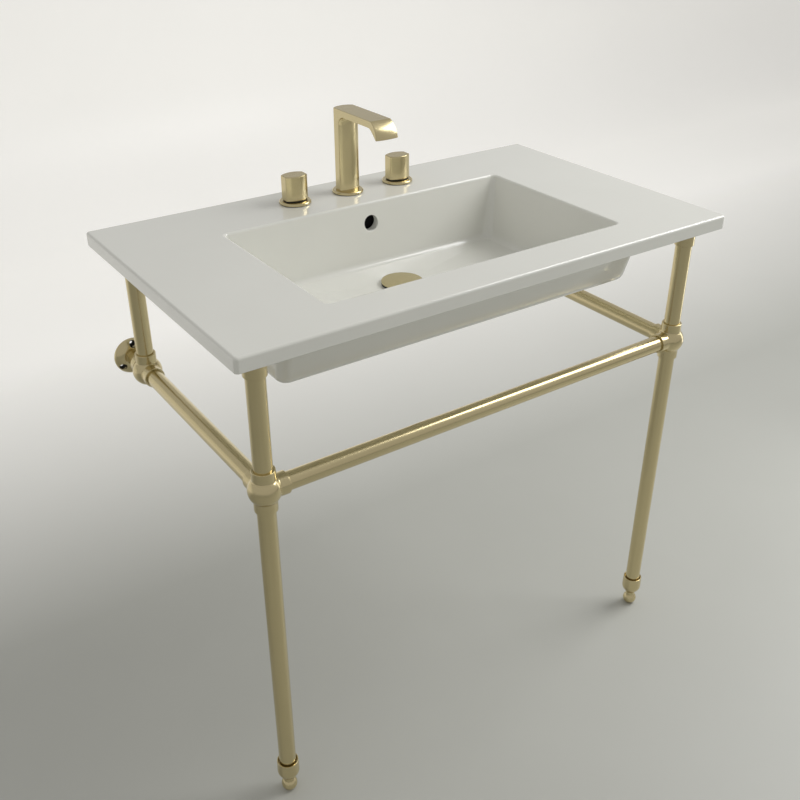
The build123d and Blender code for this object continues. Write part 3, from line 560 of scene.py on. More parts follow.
def overflow_rings(border):
    """Rings from a square border to the hole's rim, through it, and into the duct behind.

    The duct is a rectangle, so its rings reach min(side / |cos|, rise / |sin|) from the hole's axis.
    """
    angles = np.arctan2(border[:, 2] - overflow_z, border[:, 0])
    reach = np.hypot(border[:, 2] - overflow_z, border[:, 0])
    rim = overflow_radius + overflow_rim
    radii = [reach * (1 - share) + rim * share for share in (0.4, 0.75, 0.92, 1.0)]
    sunk = [0.0] * len(radii)
    for a in turns[1:]:
        radii.append(np.full(len(angles), overflow_radius + overflow_rim * (1 - sin(a))))
        sunk.append(overflow_rim * (1 - cos(a)))
    rings = []
    for radius, depth in zip(radii, sunk):
        z = overflow_z + radius * np.sin(angles)
        rings.append(np.column_stack([radius * np.cos(angles), back_wall_y(z) + depth, z]))
    tube = rings[-1].copy()
    tube[:, 1] = duct_front_y
    side = duct_half_width / np.maximum(np.abs(np.cos(angles)), 1e-6)
    rise = np.where(angles > 0, duct_up, duct_down) / np.maximum(np.abs(np.sin(angles)), 1e-6)
    reach = np.minimum(side, rise)
    mouth = np.column_stack([reach * np.cos(angles), np.full(len(angles), duct_front_y),
                             overflow_z + reach * np.sin(angles)])
    end = mouth.copy()
    end[:, 1] = duct_back_y
    return np.array(rings + [tube, mouth, end])


# %% The basin as one closed surface
def make_basin():
    """The loops as one closed grid, the overflow block swapped for its rings, and the duct's keel."""
    shell = Shell()
    count, columns = loops.shape[:2]
    shell.add_points(loops)
    quads = grid_faces(count, columns, wrap_rows=True).reshape(count, columns, 4)
    c0, r0 = corner_cells + side_cells, block_first
    c1, r1 = c0 + block_cells, r0 + block_cells
    keep = np.ones((count, columns), bool)
    keep[r0:r1, c0:c1] = False
    shell.faces += quads[keep].tolist()
    border = [(r0, c) for c in range(c0, c1)] + [(r, c1) for r in range(r0, r1)]
    border += [(r1, c) for c in range(c1, c0, -1)] + [(r, c0) for r in range(r1, r0, -1)]
    border_points = np.array([loops[place] for place in border])
    rings = overflow_rings(border_points)
    shell.add_grid(np.concatenate([border_points[None], rings]), close_last=True)
    keel_y = (waste_y + box_back - box_edge_round) / 2
    keel_half_length = (box_back - box_edge_round - waste_y) / 2
    keel = [rounded(0, keel_y, keel_half_width, keel_half_length, keel_corner, box_bottom + support)]
    for a in turns:
        inset = keel_edge * (1 - cos(a))
        keel.append(rounded(0, keel_y, keel_half_width - inset, keel_half_length - inset,
                            keel_corner - inset, boss_bottom + keel_edge * (1 - sin(a)) + support))
    shell.add_grid(np.array(keel), close_first=True, close_last=True)
    return shell.build("washbasin", ceramic)


def shade_where(piece, material, low, high):
    """Give the faces whose middles lie in a box a second material."""
    piece.data.materials.append(material)
    middles = np.array([face.center for face in piece.data.polygons])
    inside = ((middles > low) & (middles < high)).all(1)
    index = np.zeros(len(middles), np.int32)
    piece.data.polygons.foreach_get("material_index", index)
    index[inside] = len(piece.data.materials) - 1
    piece.data.polygons.foreach_set("material_index", index)
    print("shaded", piece.name, int(inside.sum()))


basin = make_basin()
# The duct behind the overflow hole is coloured near black: painted shade where no light reaches.
duct_side = duct_half_width + shade_margin
shade_where(basin, painted_shade_inside,
            (-duct_side, duct_front_y - shade_film, overflow_z - duct_down - shade_margin),
            (duct_side, duct_back_y + shade_film, overflow_z + duct_up + shade_margin))
dress(basin, "basin")
print("basin faces", len(basin.data.polygons))

# %% [markdown]
# ## Turned and drawn brass
# Tubes, plates, cups and sockets are all a profile turned about a line. The profile is a list of
# corners, each with its own radius, and the grain goes round the piece as it does on a lathe, or
# along it as on drawn tube.

# %% Profiles and turning
def rounded_profile(corners, steps=5):
    """Corners (radius, height, round) joined by straight lines, each corner turned on its round.

    A round of zero keeps the corner sharp. The arc touches both lines at round * tan(half the turn)
    from the corner, and its points lie round its centre.
    """
    corners = [np.array(c, float) for c in corners]
    points = [corners[0][:2]]
    for before, here, after in zip(corners, corners[1:], corners[2:]):
        back, on = before[:2] - here[:2], after[:2] - here[:2]
        back, on = back / np.linalg.norm(back), on / np.linalg.norm(on)
        turn = np.arccos(np.clip(-back @ on, -1, 1))
        if here[2] <= 0 or turn < 1e-3:
            points.append(here[:2])
            continue
        leg = here[2] * np.tan(turn / 2)
        centre = here[:2] + (back + on) / np.linalg.norm(back + on) * here[2] / np.cos(turn / 2)
        start, end = here[:2] + back * leg - centre, here[:2] + on * leg - centre
        for share in np.linspace(0, 1, steps + 1):
            weights = np.sin((1 - share) * turn) * start + np.sin(share * turn) * end
            points.append(centre + weights / np.sin(turn))
    points.append(corners[-1][:2])
    return np.array(points)


def frame_of(direction):
    """An axis as an array, and two unit directions across it."""
    axis = np.array(direction, float)
    across = np.cross(axis, (0, 0, 1) if abs(axis[2]) < 0.9 else (1, 0, 0))
    across /= np.linalg.norm(across)
    return axis, across, np.cross(axis, across)


def ring_points(base, direction, height, radius, segments):
    """Rings of points round an axis, with their turn from the seam's far side, for the grain.

    Height and radius have a row for each ring, and either one column or one for each segment.
    """
    axis, across, other = frame_of(direction)
    angles = np.linspace(0, 2 * pi, segments, endpoint=False)
    round_ = np.cos(angles)[:, None] * across + np.sin(angles)[:, None] * other
    grid = np.array(base) + height[..., None] * axis + radius[..., None] * round_[None]
    return grid, np.abs(angles - pi)


def add_profile(shell, base, direction, profile, segments=64, lathe=True, **ends):
    """Add a turned profile of (radius, height) to a shell: rows along it, columns round the axis."""
    radius, height = profile[:, 0], profile[:, 1]
    grid, half_turn = ring_points(base, direction, height[:, None], radius[:, None], segments)
    along = np.concatenate([[0], np.cumsum(np.hypot(np.diff(radius), np.diff(height)))])
    turn = half_turn * np.maximum(radius.max(), least_grain_radius)
    across_lines = np.broadcast_to(along[:, None], grid.shape[:2])
    along_lines = np.broadcast_to(turn[None], grid.shape[:2])
    grain = np.stack([across_lines, along_lines] if lathe else [along_lines, across_lines], -1)
    shell.add_grid(grid, grain=grain, **ends)
    return shell


def add_turned(shell, base, direction, corners, segments=64, lathe=True, wrap=False):
    """Add a turned surface, given by its corners; wrap joins the profile's end to its start."""
    profile = rounded_profile(corners)
    if wrap:
        profile = profile[:-1]
    return add_profile(shell, base, direction, profile, segments, lathe, wrap_rows=wrap)


def closed_ring(corners):
    """A profile that comes back to its start, with that start in the middle of a straight line."""
    first, last = np.array(corners[0], float), np.array(corners[-1], float)
    middle = (first + last) / 2
    middle[2] = 0
    return [tuple(middle), *corners, tuple(middle)]


def centre_of(node):
    """The middle of a CAD node's box."""
    low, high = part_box(node)
    return np.array((low + high) / 2)


def foot_of(node):
    """The middle of the underside of a CAD node's box."""
    return centre_of(node) * (1, 1, 0) + (0, 0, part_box(node)[0].z)


up, down, to_room, to_wall = (0, 0, 1), (0, 0, -1), (0, -1, 0), (0, 1, 0)
sides = {"left": -1, "right": 1}
least_grain_radius = 1 * mm


# %% [markdown]
# ## Tubes
# Each tube is drawn brass with its brushing along its length. A slightly softened end shows where a
# tube stops in a cup; the other ends are hidden in their sockets.

# %% Tubes of the frame
tube_radius, tube_wall, tube_edge = 13.35 * mm, 1.6 * mm, 0.4 * mm
tube_nodes = ["front_rail"] + [f"{side}_{part}" for side in sides
                               for part in ("front_post", "rear_post", "leg", "side_rail")]


def make_tube(node):
    """A round tube along the longest side of its CAD node's box."""
    low, high = (np.array(v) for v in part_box(node))
    axis = int(np.argmax(high - low))
    direction = np.eye(3)[axis]
    base = (low + high) / 2
    base[axis] = low[axis]
    length = (high - low)[axis]
    inner = tube_radius - tube_wall
    corners = closed_ring([(tube_radius, 0, tube_edge), (tube_radius, length, tube_edge),
                           (inner, length, tube_edge), (inner, 0, tube_edge)])
    shell = add_turned(Shell(), base, direction, corners, lathe=False, wrap=True)
    dress(shell.build(f"{node}_tube", satin_brass), node)


for node in tube_nodes:
    make_tube(node)
print("tubes", len(tube_nodes))

# %% [markdown]
# ## Ball fittings
# A cast ball takes each tube in a short socket. Ball and sockets meet in a small hollow fillet, so the
# socket's profile starts on the ball and curves out along the tube. Only the socket's mouth is open.

# %% Ball fittings
leg_x, leg_y, rear_y, rail_z = 389 * mm, -214 * mm, 188 * mm, 589 * mm
ball_radius, socket_radius, socket_reach, socket_bore = 23.5 * mm, 16.5 * mm, 32 * mm, 13.45 * mm
socket_fillet, socket_lip, socket_deep, root_share = 3 * mm, 0.9 * mm, 9 * mm, 0.97


def socket_profile():
    """From inside the ball, over a hollow fillet, along the socket, round its lip and into its bore.

    The fillet's centre is a fillet's width outside both the ball and the socket, so its height above
    the middle is sqrt((ball + fillet)^2 - (socket + fillet)^2).
    """
    centre_r = socket_radius + socket_fillet
    centre_h = sqrt((ball_radius + socket_fillet) ** 2 - centre_r ** 2)
    angles = np.linspace(atan2(-centre_h, -centre_r), -pi, 9)
    fillet = np.column_stack([centre_r + socket_fillet * np.cos(angles),
                              centre_h + socket_fillet * np.sin(angles)])
    lip = rounded_profile([(socket_radius, centre_h + socket_fillet, 0),
                           (socket_radius, socket_reach, socket_lip),
                           (socket_bore, socket_reach, socket_lip / 3),
                           (socket_bore, socket_reach - socket_deep, 0)])
    return np.concatenate([fillet[:1] * root_share, fillet, lip])


def make_fitting(name, centre, arms):
    """A ball with a socket along each arm."""
    tilt = np.linspace(0, pi, 49)
    ball = np.column_stack([ball_radius * np.sin(tilt), -ball_radius * np.cos(tilt)])
    shell = add_profile(Shell(), centre, up, ball, 96)
    for arm in arms:
        add_profile(shell, centre, arm, socket_profile(), 72, close_first=True, close_last=True)
    dress(shell.build(f"{name}_body", satin_brass), name)


for side, sign in sides.items():
    make_fitting(f"{side}_front_fitting", (sign * leg_x, leg_y, rail_z),
                 [up, down, to_wall, (-sign, 0, 0)])
    make_fitting(f"{side}_rear_fitting", (sign * leg_x, rear_y, rail_z), [up, to_room, to_wall])


# %% [markdown]
# ## Ferrules under the deck
# Each post ends in a plain ferrule with softened edges, and a thin rubber pad lies between it and the
# ceramic.

# %% Ferrules
def make_turned(name, node, base, corners, material=satin_brass, body="frame",
                segments=72, ring=True):
    """A piece turned about an upright axis, in place of a CAD node.

    A ring's corners go once round its section; a solid's start and end on the axis.
    """
    profile = closed_ring(corners) if ring else corners
    shell = add_turned(Shell(), base, up, profile, segments, wrap=ring)
    dress(shell.build(name, material, body), node)


ferrule_radius, ferrule_height, ferrule_roof, ferrule_edge = 16 * mm, 28 * mm, 4 * mm, 0.9 * mm
mouth_edge, pin_hole = 0.3 * mm, 1 * mm
for side in sides:
    for end in ("front", "rear"):
        node = f"{side}_{end}_post_cap"
        under_roof = ferrule_height - ferrule_roof
        make_turned(f"{node}_ferrule", node, foot_of(node),
                    [(ferrule_radius, 0, ferrule_edge), (ferrule_radius, ferrule_height, ferrule_edge),
                     (pin_hole, ferrule_height, 0), (pin_hole, under_roof, 0),
                     (socket_bore, under_roof, 0), (socket_bore, 0, mouth_edge)])
print("ferrules up to", round(ferrule_height / mm, 1), "mm")

# %% [markdown]
# ## Wall flanges
# A flange is a shallow dome that runs up to a neck, with three countersunk screw holes. The dome is
# turned, and the holes are cut by three turned cutters.

# %% Cutting
def apply_modifiers(piece):
    """Bake a piece's modifiers into its mesh."""
    depsgraph = bpy.context.evaluated_depsgraph_get()
    mesh = bpy.data.meshes.new_from_object(piece.evaluated_get(depsgraph))
    piece.modifiers.clear()
    piece.data = mesh


def cut_by(piece, cutter, inside=None, beyond=0.0):
    """Cut one closed piece by another and drop the cutter.

    The cut's faces whose middles have a larger Y than a limit may take painted shade, a material of
    their own.
    """
    if inside:
        piece.data.materials.append(inside)
        cutter.data.materials.append(inside)
        deep = [int(face.center.y > beyond) for face in cutter.data.polygons]
        cutter.data.polygons.foreach_set("material_index", deep)
    piece.modifiers.clear()
    cut = piece.modifiers.new("cut", "BOOLEAN")
    cut.object = cutter
    cut.solver = "EXACT"
    apply_modifiers(piece)
    even_shade(piece)
    bpy.data.objects.remove(cutter)


# %% Wall flanges
flange_radius, flange_rim, flange_height, flange_neck = 31 * mm, 3 * mm, 14 * mm, 17 * mm
flange_bulge, flange_edge, flange_back, flange_pin = 2.5 * mm, 1 * mm, 20 * mm, 0.5 * mm
spigot_reach, spigot_bore, spigot_edge = 50.5 * mm, 11.75 * mm, 0.5 * mm
screw_circle, screw_hole, screw_head, screw_seat = 24 * mm, 2.75 * mm, 5.5 * mm, 6 * mm
screw_count, cut_over, painted_shade_depth = 3, 2 * mm, 5 * mm


def flange_profile():
    """Flat back, rounded rim, one arc up the dome to the neck, then the spigot and its bore."""
    start, end = np.array((flange_radius, flange_rim)), np.array((flange_neck, flange_height))
    chord = end - start
    across = np.array((chord[1], -chord[0])) / np.linalg.norm(chord)
    share = np.linspace(0, 1, 13)[:, None]
    dome = start + chord * share + across * 4 * flange_bulge * share * (1 - share)
    rim = rounded_profile([(flange_back, 0, 0), (flange_radius, 0, flange_edge),
                           (flange_radius, flange_rim, 0)])[:-1]
    neck = rounded_profile([(flange_neck, flange_height, 0), (tube_radius, flange_height, mouth_edge),
                            (tube_radius, spigot_reach, spigot_edge),
                            (spigot_bore, spigot_reach, spigot_edge), (spigot_bore, flange_rim, 0),
                            (flange_pin, flange_rim, 0), (flange_pin, 0, 0)])[1:]
    return np.concatenate([rim, dome, neck])


def make_flange(side, sign):
    """The dome with its holes cut through."""
    base = np.array((sign * leg_x, deck_half_depth, rail_z))
    shell = add_profile(Shell(), base, to_room, flange_profile(), 120, wrap_rows=True)
    flange = shell.build(f"{side}_wall_flange_dome", satin_brass)
    cutter = Shell()
    sink = screw_head - screw_hole
    corners = [(0, -cut_over, 0), (screw_hole, -cut_over, 0), (screw_hole, screw_seat - sink, 0),
               (screw_head, screw_seat, 0), (screw_head, flange_height + cut_over, 0),
               (0, flange_height + cut_over, 0)]
    for turn in range(screw_count):
        angle = pi / 2 + turn * 2 * pi / screw_count
        place = base + (screw_circle * cos(angle), 0, screw_circle * sin(angle))
        add_turned(cutter, place, to_room, corners, 40)
    # The deep faces of each screw hole are coloured near black: painted shade.
    cut_by(flange, cutter.build(f"{side}_flange_cutter", satin_brass), painted_shade_inside,
           deck_half_depth - painted_shade_depth)
    dress(flange, f"{side}_wall_flange")
    print(side, "flange faces", len(flange.data.polygons))


for side, sign in sides.items():
    make_flange(side, sign)

# %% [markdown]
# ## Feet
# The leg ends in a cup that swells from a narrow base and stands a little open round the tube. A ball
# foot with a short neck screws up into it. The cup belongs to the frame; the ball moves, so it rides on
# its own body.

# %% Foot cups and ball feet
cup_bottom, cup_height, cup_floor, cup_swell = 28 * mm, 37 * mm, 8 * mm, 16 * mm
cup_base, cup_belly, cup_mouth = 9.4 * mm, 17.6 * mm, 17 * mm
cup_recess, cup_recess_deep, cup_recess_gap, cup_recess_round = 15.4 * mm, 4 * mm, 0.7 * mm, 0.8 * mm
cup_foot, cup_top, cup_lip_round, cup_edge = 0.3 * mm, 0.8 * mm, 0.5 * mm, 0.3 * mm
foot_ball, foot_flat, foot_neck, foot_stem, stem_gap = 12.6 * mm, 6 * mm, 8.8 * mm, 5 * mm, 0.05 * mm
neck_drop, neck_in, neck_round, stem_top, stem_round = 3 * mm, 0.5 * mm, 2 * mm, 56 * mm, 0.8 * mm


def cup_outside(height):
    """Cup radius at a height: a quarter sine from base to belly, then a parabola in to the mouth."""
    low = cup_base + (cup_belly - cup_base) * np.sin(pi / 2 * np.clip(height / cup_swell, 0, 1))
    share = np.clip((height - cup_swell) / (cup_height - cup_swell), 0, 1)
    return low - (cup_belly - cup_mouth) * share ** 2


def make_cup(side, place):
    """The cup: its swelling outside, then over the lip, down the recess and out through the floor."""
    height = np.linspace(cup_foot, cup_height - cup_top, 28)
    outside = np.column_stack([cup_outside(height), height])
    recess_z, stem_hole = cup_height - cup_recess_deep, foot_stem + stem_gap
    lip = rounded_profile([(*outside[-1], 0), (cup_mouth, cup_height, cup_lip_round),
                           (cup_recess, cup_height, cup_edge),
                           (socket_bore + cup_recess_gap, recess_z, cup_recess_round),
                           (socket_bore, recess_z, 0), (socket_bore, cup_floor, 0),
                           (stem_hole, cup_floor, 0), (stem_hole, 0, 0), (cup_base, 0, cup_edge),
                           (*outside[0], 0)])
    profile = np.concatenate([outside, lip[1:-1]])
    shell = add_profile(Shell(), place + (0, 0, cup_bottom), up, profile, 80, wrap_rows=True)
    dress(shell.build(f"{side}_foot_cup_body", satin_brass), f"{side}_foot_cup")


def make_foot(side, place):
    """The ball with its flat under it, its neck and the stem that goes up into the cup."""
    ball_z = sqrt(foot_ball ** 2 - foot_flat ** 2)
    neck_angle = atan2(sqrt(foot_ball ** 2 - foot_neck ** 2), foot_neck)
    angles = np.linspace(-atan2(ball_z, foot_flat), neck_angle, 25)
    ball = np.column_stack([foot_ball * np.cos(angles), ball_z + foot_ball * np.sin(angles)])
    neck = rounded_profile([(*ball[-1], 0), (foot_neck - neck_in, cup_bottom - neck_drop, neck_round),
                            (foot_neck, cup_bottom, cup_edge), (foot_stem, cup_bottom, 0),
                            (foot_stem, stem_top, stem_round), (0, stem_top, 0)])
    profile = np.concatenate([[(0, 0)], ball, neck[1:]])
    shell = add_profile(Shell(), place, up, profile, 72)
    dress(shell.build(f"{side}_foot_ball", satin_brass, f"{side}_foot"), f"{side}_foot")


for side, sign in sides.items():
    place = np.array((sign * leg_x, leg_y, 0))
    make_cup(side, place)
    make_foot(side, place)
print("feet, widest", round(2 * cup_belly / mm, 1), "mm")

# %% [markdown]
# ## The spout
# The spout's side is one outline: up the back, along the top, over a crisp ridge and down the curved
# lip, then back along the underside, round the throat and down the column. The surface is that
# outline carried across the width. The column's front and back bow out between its flat sides, the
# bow fades along the throat, and the lip spreads a little towards its thin end. Every rim is a
# quarter turn.

# %% Outline of the spout, in millimetres: forward from the column's axis, up from the deck
plate_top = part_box("spout_escutcheon")[1].z
tap_x, tap_y = 101.6 * mm, 190 * mm
half_width, half_flat, bow = 19, 7, 8
top, under, ridge, throat = 141, 130, 102.5, 15
lip_radius, lip_first, lip_last, lip_thick = 35, radians(28), radians(82), 1.8
lip_flare, lip_flare_power, lip_bow, rim_round = 1.9, 1.5, 2.5, 0.8
ridge_soft, under_last, under_pull = 1.2, 97, (104.5, 128.5)
column_foot = (plate_top - deck_top) / mm
top_shares = (0.01, 0.05, 0.12, 0.22, 0.34, 0.48, 0.62, 0.76, 0.88, 0.99, 1.0)
front_shares = (0, 0.25, 0.5, 0.75, 0.9, 1.0)
under_shares = (0.1, 0.25, 0.45, 0.65, 0.82, 0.95, 1.0)
ridge_shares = (0.3, 0.5, 0.7)
lip_centre = np.array((ridge - lip_radius * sin(lip_first), top - lip_radius * cos(lip_first)))


def along(a, b, shares):
    """Points between two points at given shares."""
    shares = np.asarray(shares, float)[:, None]
    return np.array(a, float) * (1 - shares) + np.array(b, float) * shares


def curve_to(start, pull, end, shares):
    """Points of the curve start (1 - s)^2 + 2 pull s (1 - s) + end s^2 at given shares s."""
    share = np.asarray(shares, float)[:, None]
    return start * (1 - share) ** 2 + np.array(pull) * 2 * share * (1 - share) + end * share ** 2


def lip_chain(chain, bows, steps):
    """Join a chain's points to their bow and spread; both grow over the lip's steps at its end."""
    grow = np.linspace(0, 1, steps + 1)[1:]
    spread = np.concatenate([np.zeros(len(chain) - steps), lip_flare * grow ** lip_flare_power])
    return np.column_stack([chain, np.concatenate([bows, lip_bow * grow]), spread])


def outer_chain():
    """Back edge, top and lip front. Each point is forward, up, bow, spread."""
    back = along((-half_flat, column_foot), (-half_flat, top - rim_round), np.linspace(0, 1, 13))
    angles = np.array([30, 60, 90]) * pi / 180
    corner = np.column_stack([-half_flat + rim_round * (1 - np.cos(angles)),
                              top - rim_round * (1 - np.sin(angles))])
    level = along(corner[-1], (ridge - ridge_soft, top), top_shares)
    slopes = np.linspace(lip_first, lip_last, 17)
    arc = lip_centre + lip_radius * np.column_stack([np.sin(slopes), np.cos(slopes)])
    break_ = curve_to(level[-1], arc[0], arc[1], ridge_shares)
    chain = np.concatenate([back, corner, level, break_, arc[1:]])
    bows = np.concatenate([np.full(len(back) + len(corner), -bow), np.linspace(-bow, 0, len(level)),
                           np.zeros(len(break_))])
    return lip_chain(chain, bows, len(arc) - 1)


def inner_chain():
    """Column front, throat, underside and the back of the lip, point for point with the outer chain."""
    front = along((half_flat, column_foot), (half_flat, under - throat), front_shares)
    angles = np.linspace(0, pi / 2, 15)[1:]
    arch = np.column_stack([half_flat + throat * (1 - np.cos(angles)),
                            under - throat * (1 - np.sin(angles))])
    level = along(arch[-1], (under_last, under), under_shares)
    tip = lip_centre + lip_radius * np.array((sin(lip_last), cos(lip_last))) - (lip_thick, 0)
    curve = curve_to(level[-1], under_pull, tip, np.linspace(0, 1, 20)[1:])
    chain = np.concatenate([front, arch, level, curve])
    fade = np.linspace(0, 1, len(arch) + 1)[1:]
    bows = np.concatenate([np.full(len(front), bow), bow * (1 - fade ** 2 * (3 - 2 * fade)),
                           np.zeros(len(level))])
    return lip_chain(chain, bows, len(curve))


outer, inner = outer_chain(), inner_chain()
print("spout chains", outer.shape, inner.shape)


# %% Spout surface
def inset_outline(outline, depth):
    """Draw a closed outline in by a depth, along the half-angle lines of its corners."""
    before, after = np.roll(outline, 1, 0), np.roll(outline, -1, 0)

    def normals(a, b):
        run = b - a
        side = np.column_stack([run[:, 1], -run[:, 0]])
        return side / np.maximum(np.linalg.norm(side, axis=1), 1e-9)[:, None]

    first, second = normals(before, outline), normals(outline, after)
    middle = first + second
    middle /= np.maximum(np.linalg.norm(middle, axis=1), 1e-9)[:, None]
    reach = depth / np.maximum((middle * first).sum(1), 0.5)
    return outline + middle * reach[:, None]


def bow_radius(half_width, bow):
    """Radius of the arc that rises by a bow over a half width."""
    return (half_width ** 2 + bow ** 2) / (2 * bow)


def bow_share(x):
    """How much of the bow shows at a place across the width: an arc, 1 in the middle, 0 at the rim."""
    big = bow_radius(half_width, bow)
    return (np.sqrt(big ** 2 - x ** 2) - sqrt(big ** 2 - half_width ** 2)) / bow


def make_spout():
    """The outline carried across the width, capped by ladders between its two chains."""
    chain = np.concatenate([outer, inner[::-1]])
    outline, bows, spread = chain[:, :2], chain[:, 2], chain[:, 3]
    stations = [(half_width - rim_round * (1 - cos(a)), rim_round * (1 - sin(a))) for a in quarter(4)]
    stations += [(x, 0.0) for x in np.linspace(half_width - rim_round, 0, 13)[1:]]
    stations += [(-x, depth) for x, depth in stations[-2::-1]]
    rows = []
    for x, depth in stations:
        flat = inset_outline(outline, depth)
        forward = flat[:, 0] + bows * bow_share(abs(x))
        width = x * (1 + spread / half_width)
        rows.append(np.column_stack([width * mm, tap_y - forward * mm, deck_top + flat[:, 1] * mm]))
    grid = np.array(rows)
    steps = np.linalg.norm(np.diff(outline, axis=0), axis=1)
    run = np.concatenate([[0], np.cumsum(steps)]) * mm
    length_lines = np.broadcast_to(np.abs(run - run.max() / 2), grid.shape[:2])
    shell = Shell()
    first = shell.add_grid(grid, grain=np.stack([np.abs(grid[..., 0]), length_lines], -1))
    columns = grid.shape[1]
    for row in (0, len(stations) - 1):
        start = first + row * columns
        for step in range(len(outer) - 1):
            far = columns - 1 - step
            shell.faces.append([start + step, start + step + 1, start + far - 1, start + far])
    return shell.build("spout_body", satin_brass, smooth_angle=32)


def block(name, low, high):
    """A plain block, used only as a cutter."""
    shell = Shell()
    ring = np.array([(low[0], low[1]), (high[0], low[1]), (high[0], high[1]), (low[0], high[1])])
    rows = [np.column_stack([ring, np.full(4, z)]) for z in (low[2], high[2])]
    shell.add_grid(np.array(rows), close_first=True, close_last=True)
    return shell.build(name, satin_brass)


slot_gap, slot_below = 0.1 * mm, 20 * mm
spout = make_spout()
outlet_low, outlet_high = (np.array(v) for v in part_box("spout_outlet"))
cut_by(spout, block("outlet_cutter", outlet_low - (slot_gap, slot_gap, slot_below),
                    outlet_high + slot_gap))
dress(spout, "spout")
print("spout faces", len(spout.data.polygons))

# %% [markdown]
# ## Handles
# A handle has the same section as the spout's column, with soft corners and a small round at its top
# edge. Its skirt is hollow, and a black ring under it turns just clear of the cover plate. The grub
# screw sits in a hole at the back.

# %% Handles
grip_half_width, grip_half_flat, grip_bow, grip_corner, grip_least_corner = 20, 7.8, 8, 2, 0.4
grip_edge, grip_foot, grip_side_from, grip_side_to, grip_flat_from = 1.1, 0.3, 2, 1.7, 0.4
bore_radius, bore_top, skirt_bore, skirt_deep = 4.05, 28, 13, 12
screw_radius, screw_from, screw_deep, screw_up = 2.6 * mm, 3 * mm, 20 * mm, 20 * mm


def cushion_quarter(half_width, half_flat, bow, corner):
    """A quarter of the section: up the flat side, round the corner, along the bow to the middle."""
    big = bow_radius(half_width, bow)
    middle = half_flat + bow - big
    corner_x = half_width - corner
    corner_y = middle + sqrt((big - corner) ** 2 - corner_x ** 2)
    turn = atan2(corner_y - middle, corner_x)
    side = np.column_stack([np.full(4, half_width), np.linspace(0, corner_y, 5)[:-1]])
    angles = np.linspace(0, turn, 7)[:-1]
    round_ = np.column_stack([corner_x + corner * np.cos(angles), corner_y + corner * np.sin(angles)])
    angles = np.linspace(turn, pi / 2, 13)
    arc = np.column_stack([big * np.cos(angles), middle + big * np.sin(angles)])
    return np.concatenate([side, round_, arc])


def cushion_loop(inset, z, place):
    """The whole section at a height, drawn in by an inset in millimetres."""
    width = grip_half_width - inset
    section = cushion_quarter(width, grip_half_flat, grip_bow * width / grip_half_width,
                              max(grip_corner - inset, grip_least_corner)) * mm
    section[:, 1] *= (grip_half_flat + grip_bow - inset) * mm / section[-1, 1]
    turned = section[::-1] * (-1, 1)
    flat = np.concatenate([section[:-1], turned[:-1], -section[:-1], -turned[:-1]])
    return np.column_stack([place[0] + flat[:, 0], place[1] + flat[:, 1], np.full(len(flat), z)])


def shrunk(loop, share, place):
    """A level loop drawn towards a place."""
    middle = np.array((*place[:2], 0))
    return middle + (loop - middle) * (share, share, 1)


def circle_loop(like, radius, z, place):
    """A circle whose points lie in the directions of another loop's points."""
    angles = np.arctan2(like[:, 1] - place[1], like[:, 0] - place[0])
    return np.column_stack([place[0] + radius * np.cos(angles), place[1] + radius * np.sin(angles),
                            np.full(len(like), z)])


def make_handle(name):
    """Skirt, grip and rounded top as one closed surface, then the screw's hole."""
    low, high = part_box(f"{name}_handle")
    place = centre_of(f"{name}_handle")
    side_heights = np.linspace(low.z + grip_side_from * mm, high.z - grip_side_to * mm, 5)
    loops = [cushion_loop(grip_foot * (1 - sin(a)), low.z + grip_foot * mm * (1 - cos(a)), place)
             for a in quarter(3)]
    loops += [cushion_loop(0, z, place) for z in side_heights]
    loops += [cushion_loop(grip_edge * (1 - cos(a)), high.z - grip_edge * mm * (1 - sin(a)), place)
              for a in quarter(6)]
    loops.append(cushion_loop(grip_edge + grip_flat_from, high.z, place))
    loops += [shrunk(loops[-1], share, place) for share in (0.8, 0.5, 0.2)]
    inside = [circle_loop(loops[0], radius * mm, low.z + height * mm, place) for radius, height in
              ((bore_radius, bore_top), (bore_radius, skirt_deep), (skirt_bore, skirt_deep),
               (skirt_bore, 0))]
    grid = np.array(inside + loops)
    steps = np.linalg.norm(np.diff(grid[len(inside) + 2], axis=0), axis=1)
    ring = np.concatenate([[0], np.cumsum(steps)])
    across_lines = np.broadcast_to(np.abs(ring - ring.max() / 2), grid.shape[:2])
    shell = Shell()
    shell.add_grid(grid, close_first=True, close_last=True,
                   grain=np.stack([across_lines, grid[..., 2]], -1))
    handle = shell.build(f"{name}_grip", satin_brass, f"{name}_handle")
    hole = add_turned(Shell(), place * (1, 1, 0) + (0, screw_from, low.z + screw_up), to_wall,
                      [(0, 0, 0), (screw_radius, 0, 0), (screw_radius, screw_deep, 0),
                       (0, screw_deep, 0)], 24)
    cut_by(handle, hole.build(f"{name}_hole_cutter", satin_brass))
    dress(handle, f"{name}_handle")
    print(name, "grip faces", len(handle.data.polygons))


for name in ("hot", "cold"):
    make_handle(name)

# %% [markdown]
# ## Cover plates and the push-button waste
# The three cover plates are low turned discs with a wide round edge. The waste's cap is a shallow disc,
# turned, with its fine rings still faintly seen. Its tailpiece is a plain tube with a narrower top that
# goes up into the waste body.

# %% Cover plates, cap and tailpiece
plate_radius, plate_bore = 26.5 * mm, 14.1 * mm
plate_foot_edge, plate_round, plate_bore_edge = 0.4 * mm, 2.5 * mm, 0.2 * mm
for name in ("spout", "hot", "cold"):
    low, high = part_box(f"{name}_escutcheon")
    tall = high.z - low.z
    make_turned(f"{name}_cover_plate", f"{name}_escutcheon", foot_of(f"{name}_escutcheon"),
                [(plate_bore, 0, 0), (plate_radius, 0, plate_foot_edge),
                 (plate_radius, tall, plate_round), (plate_bore, tall, plate_bore_edge)], segments=112)

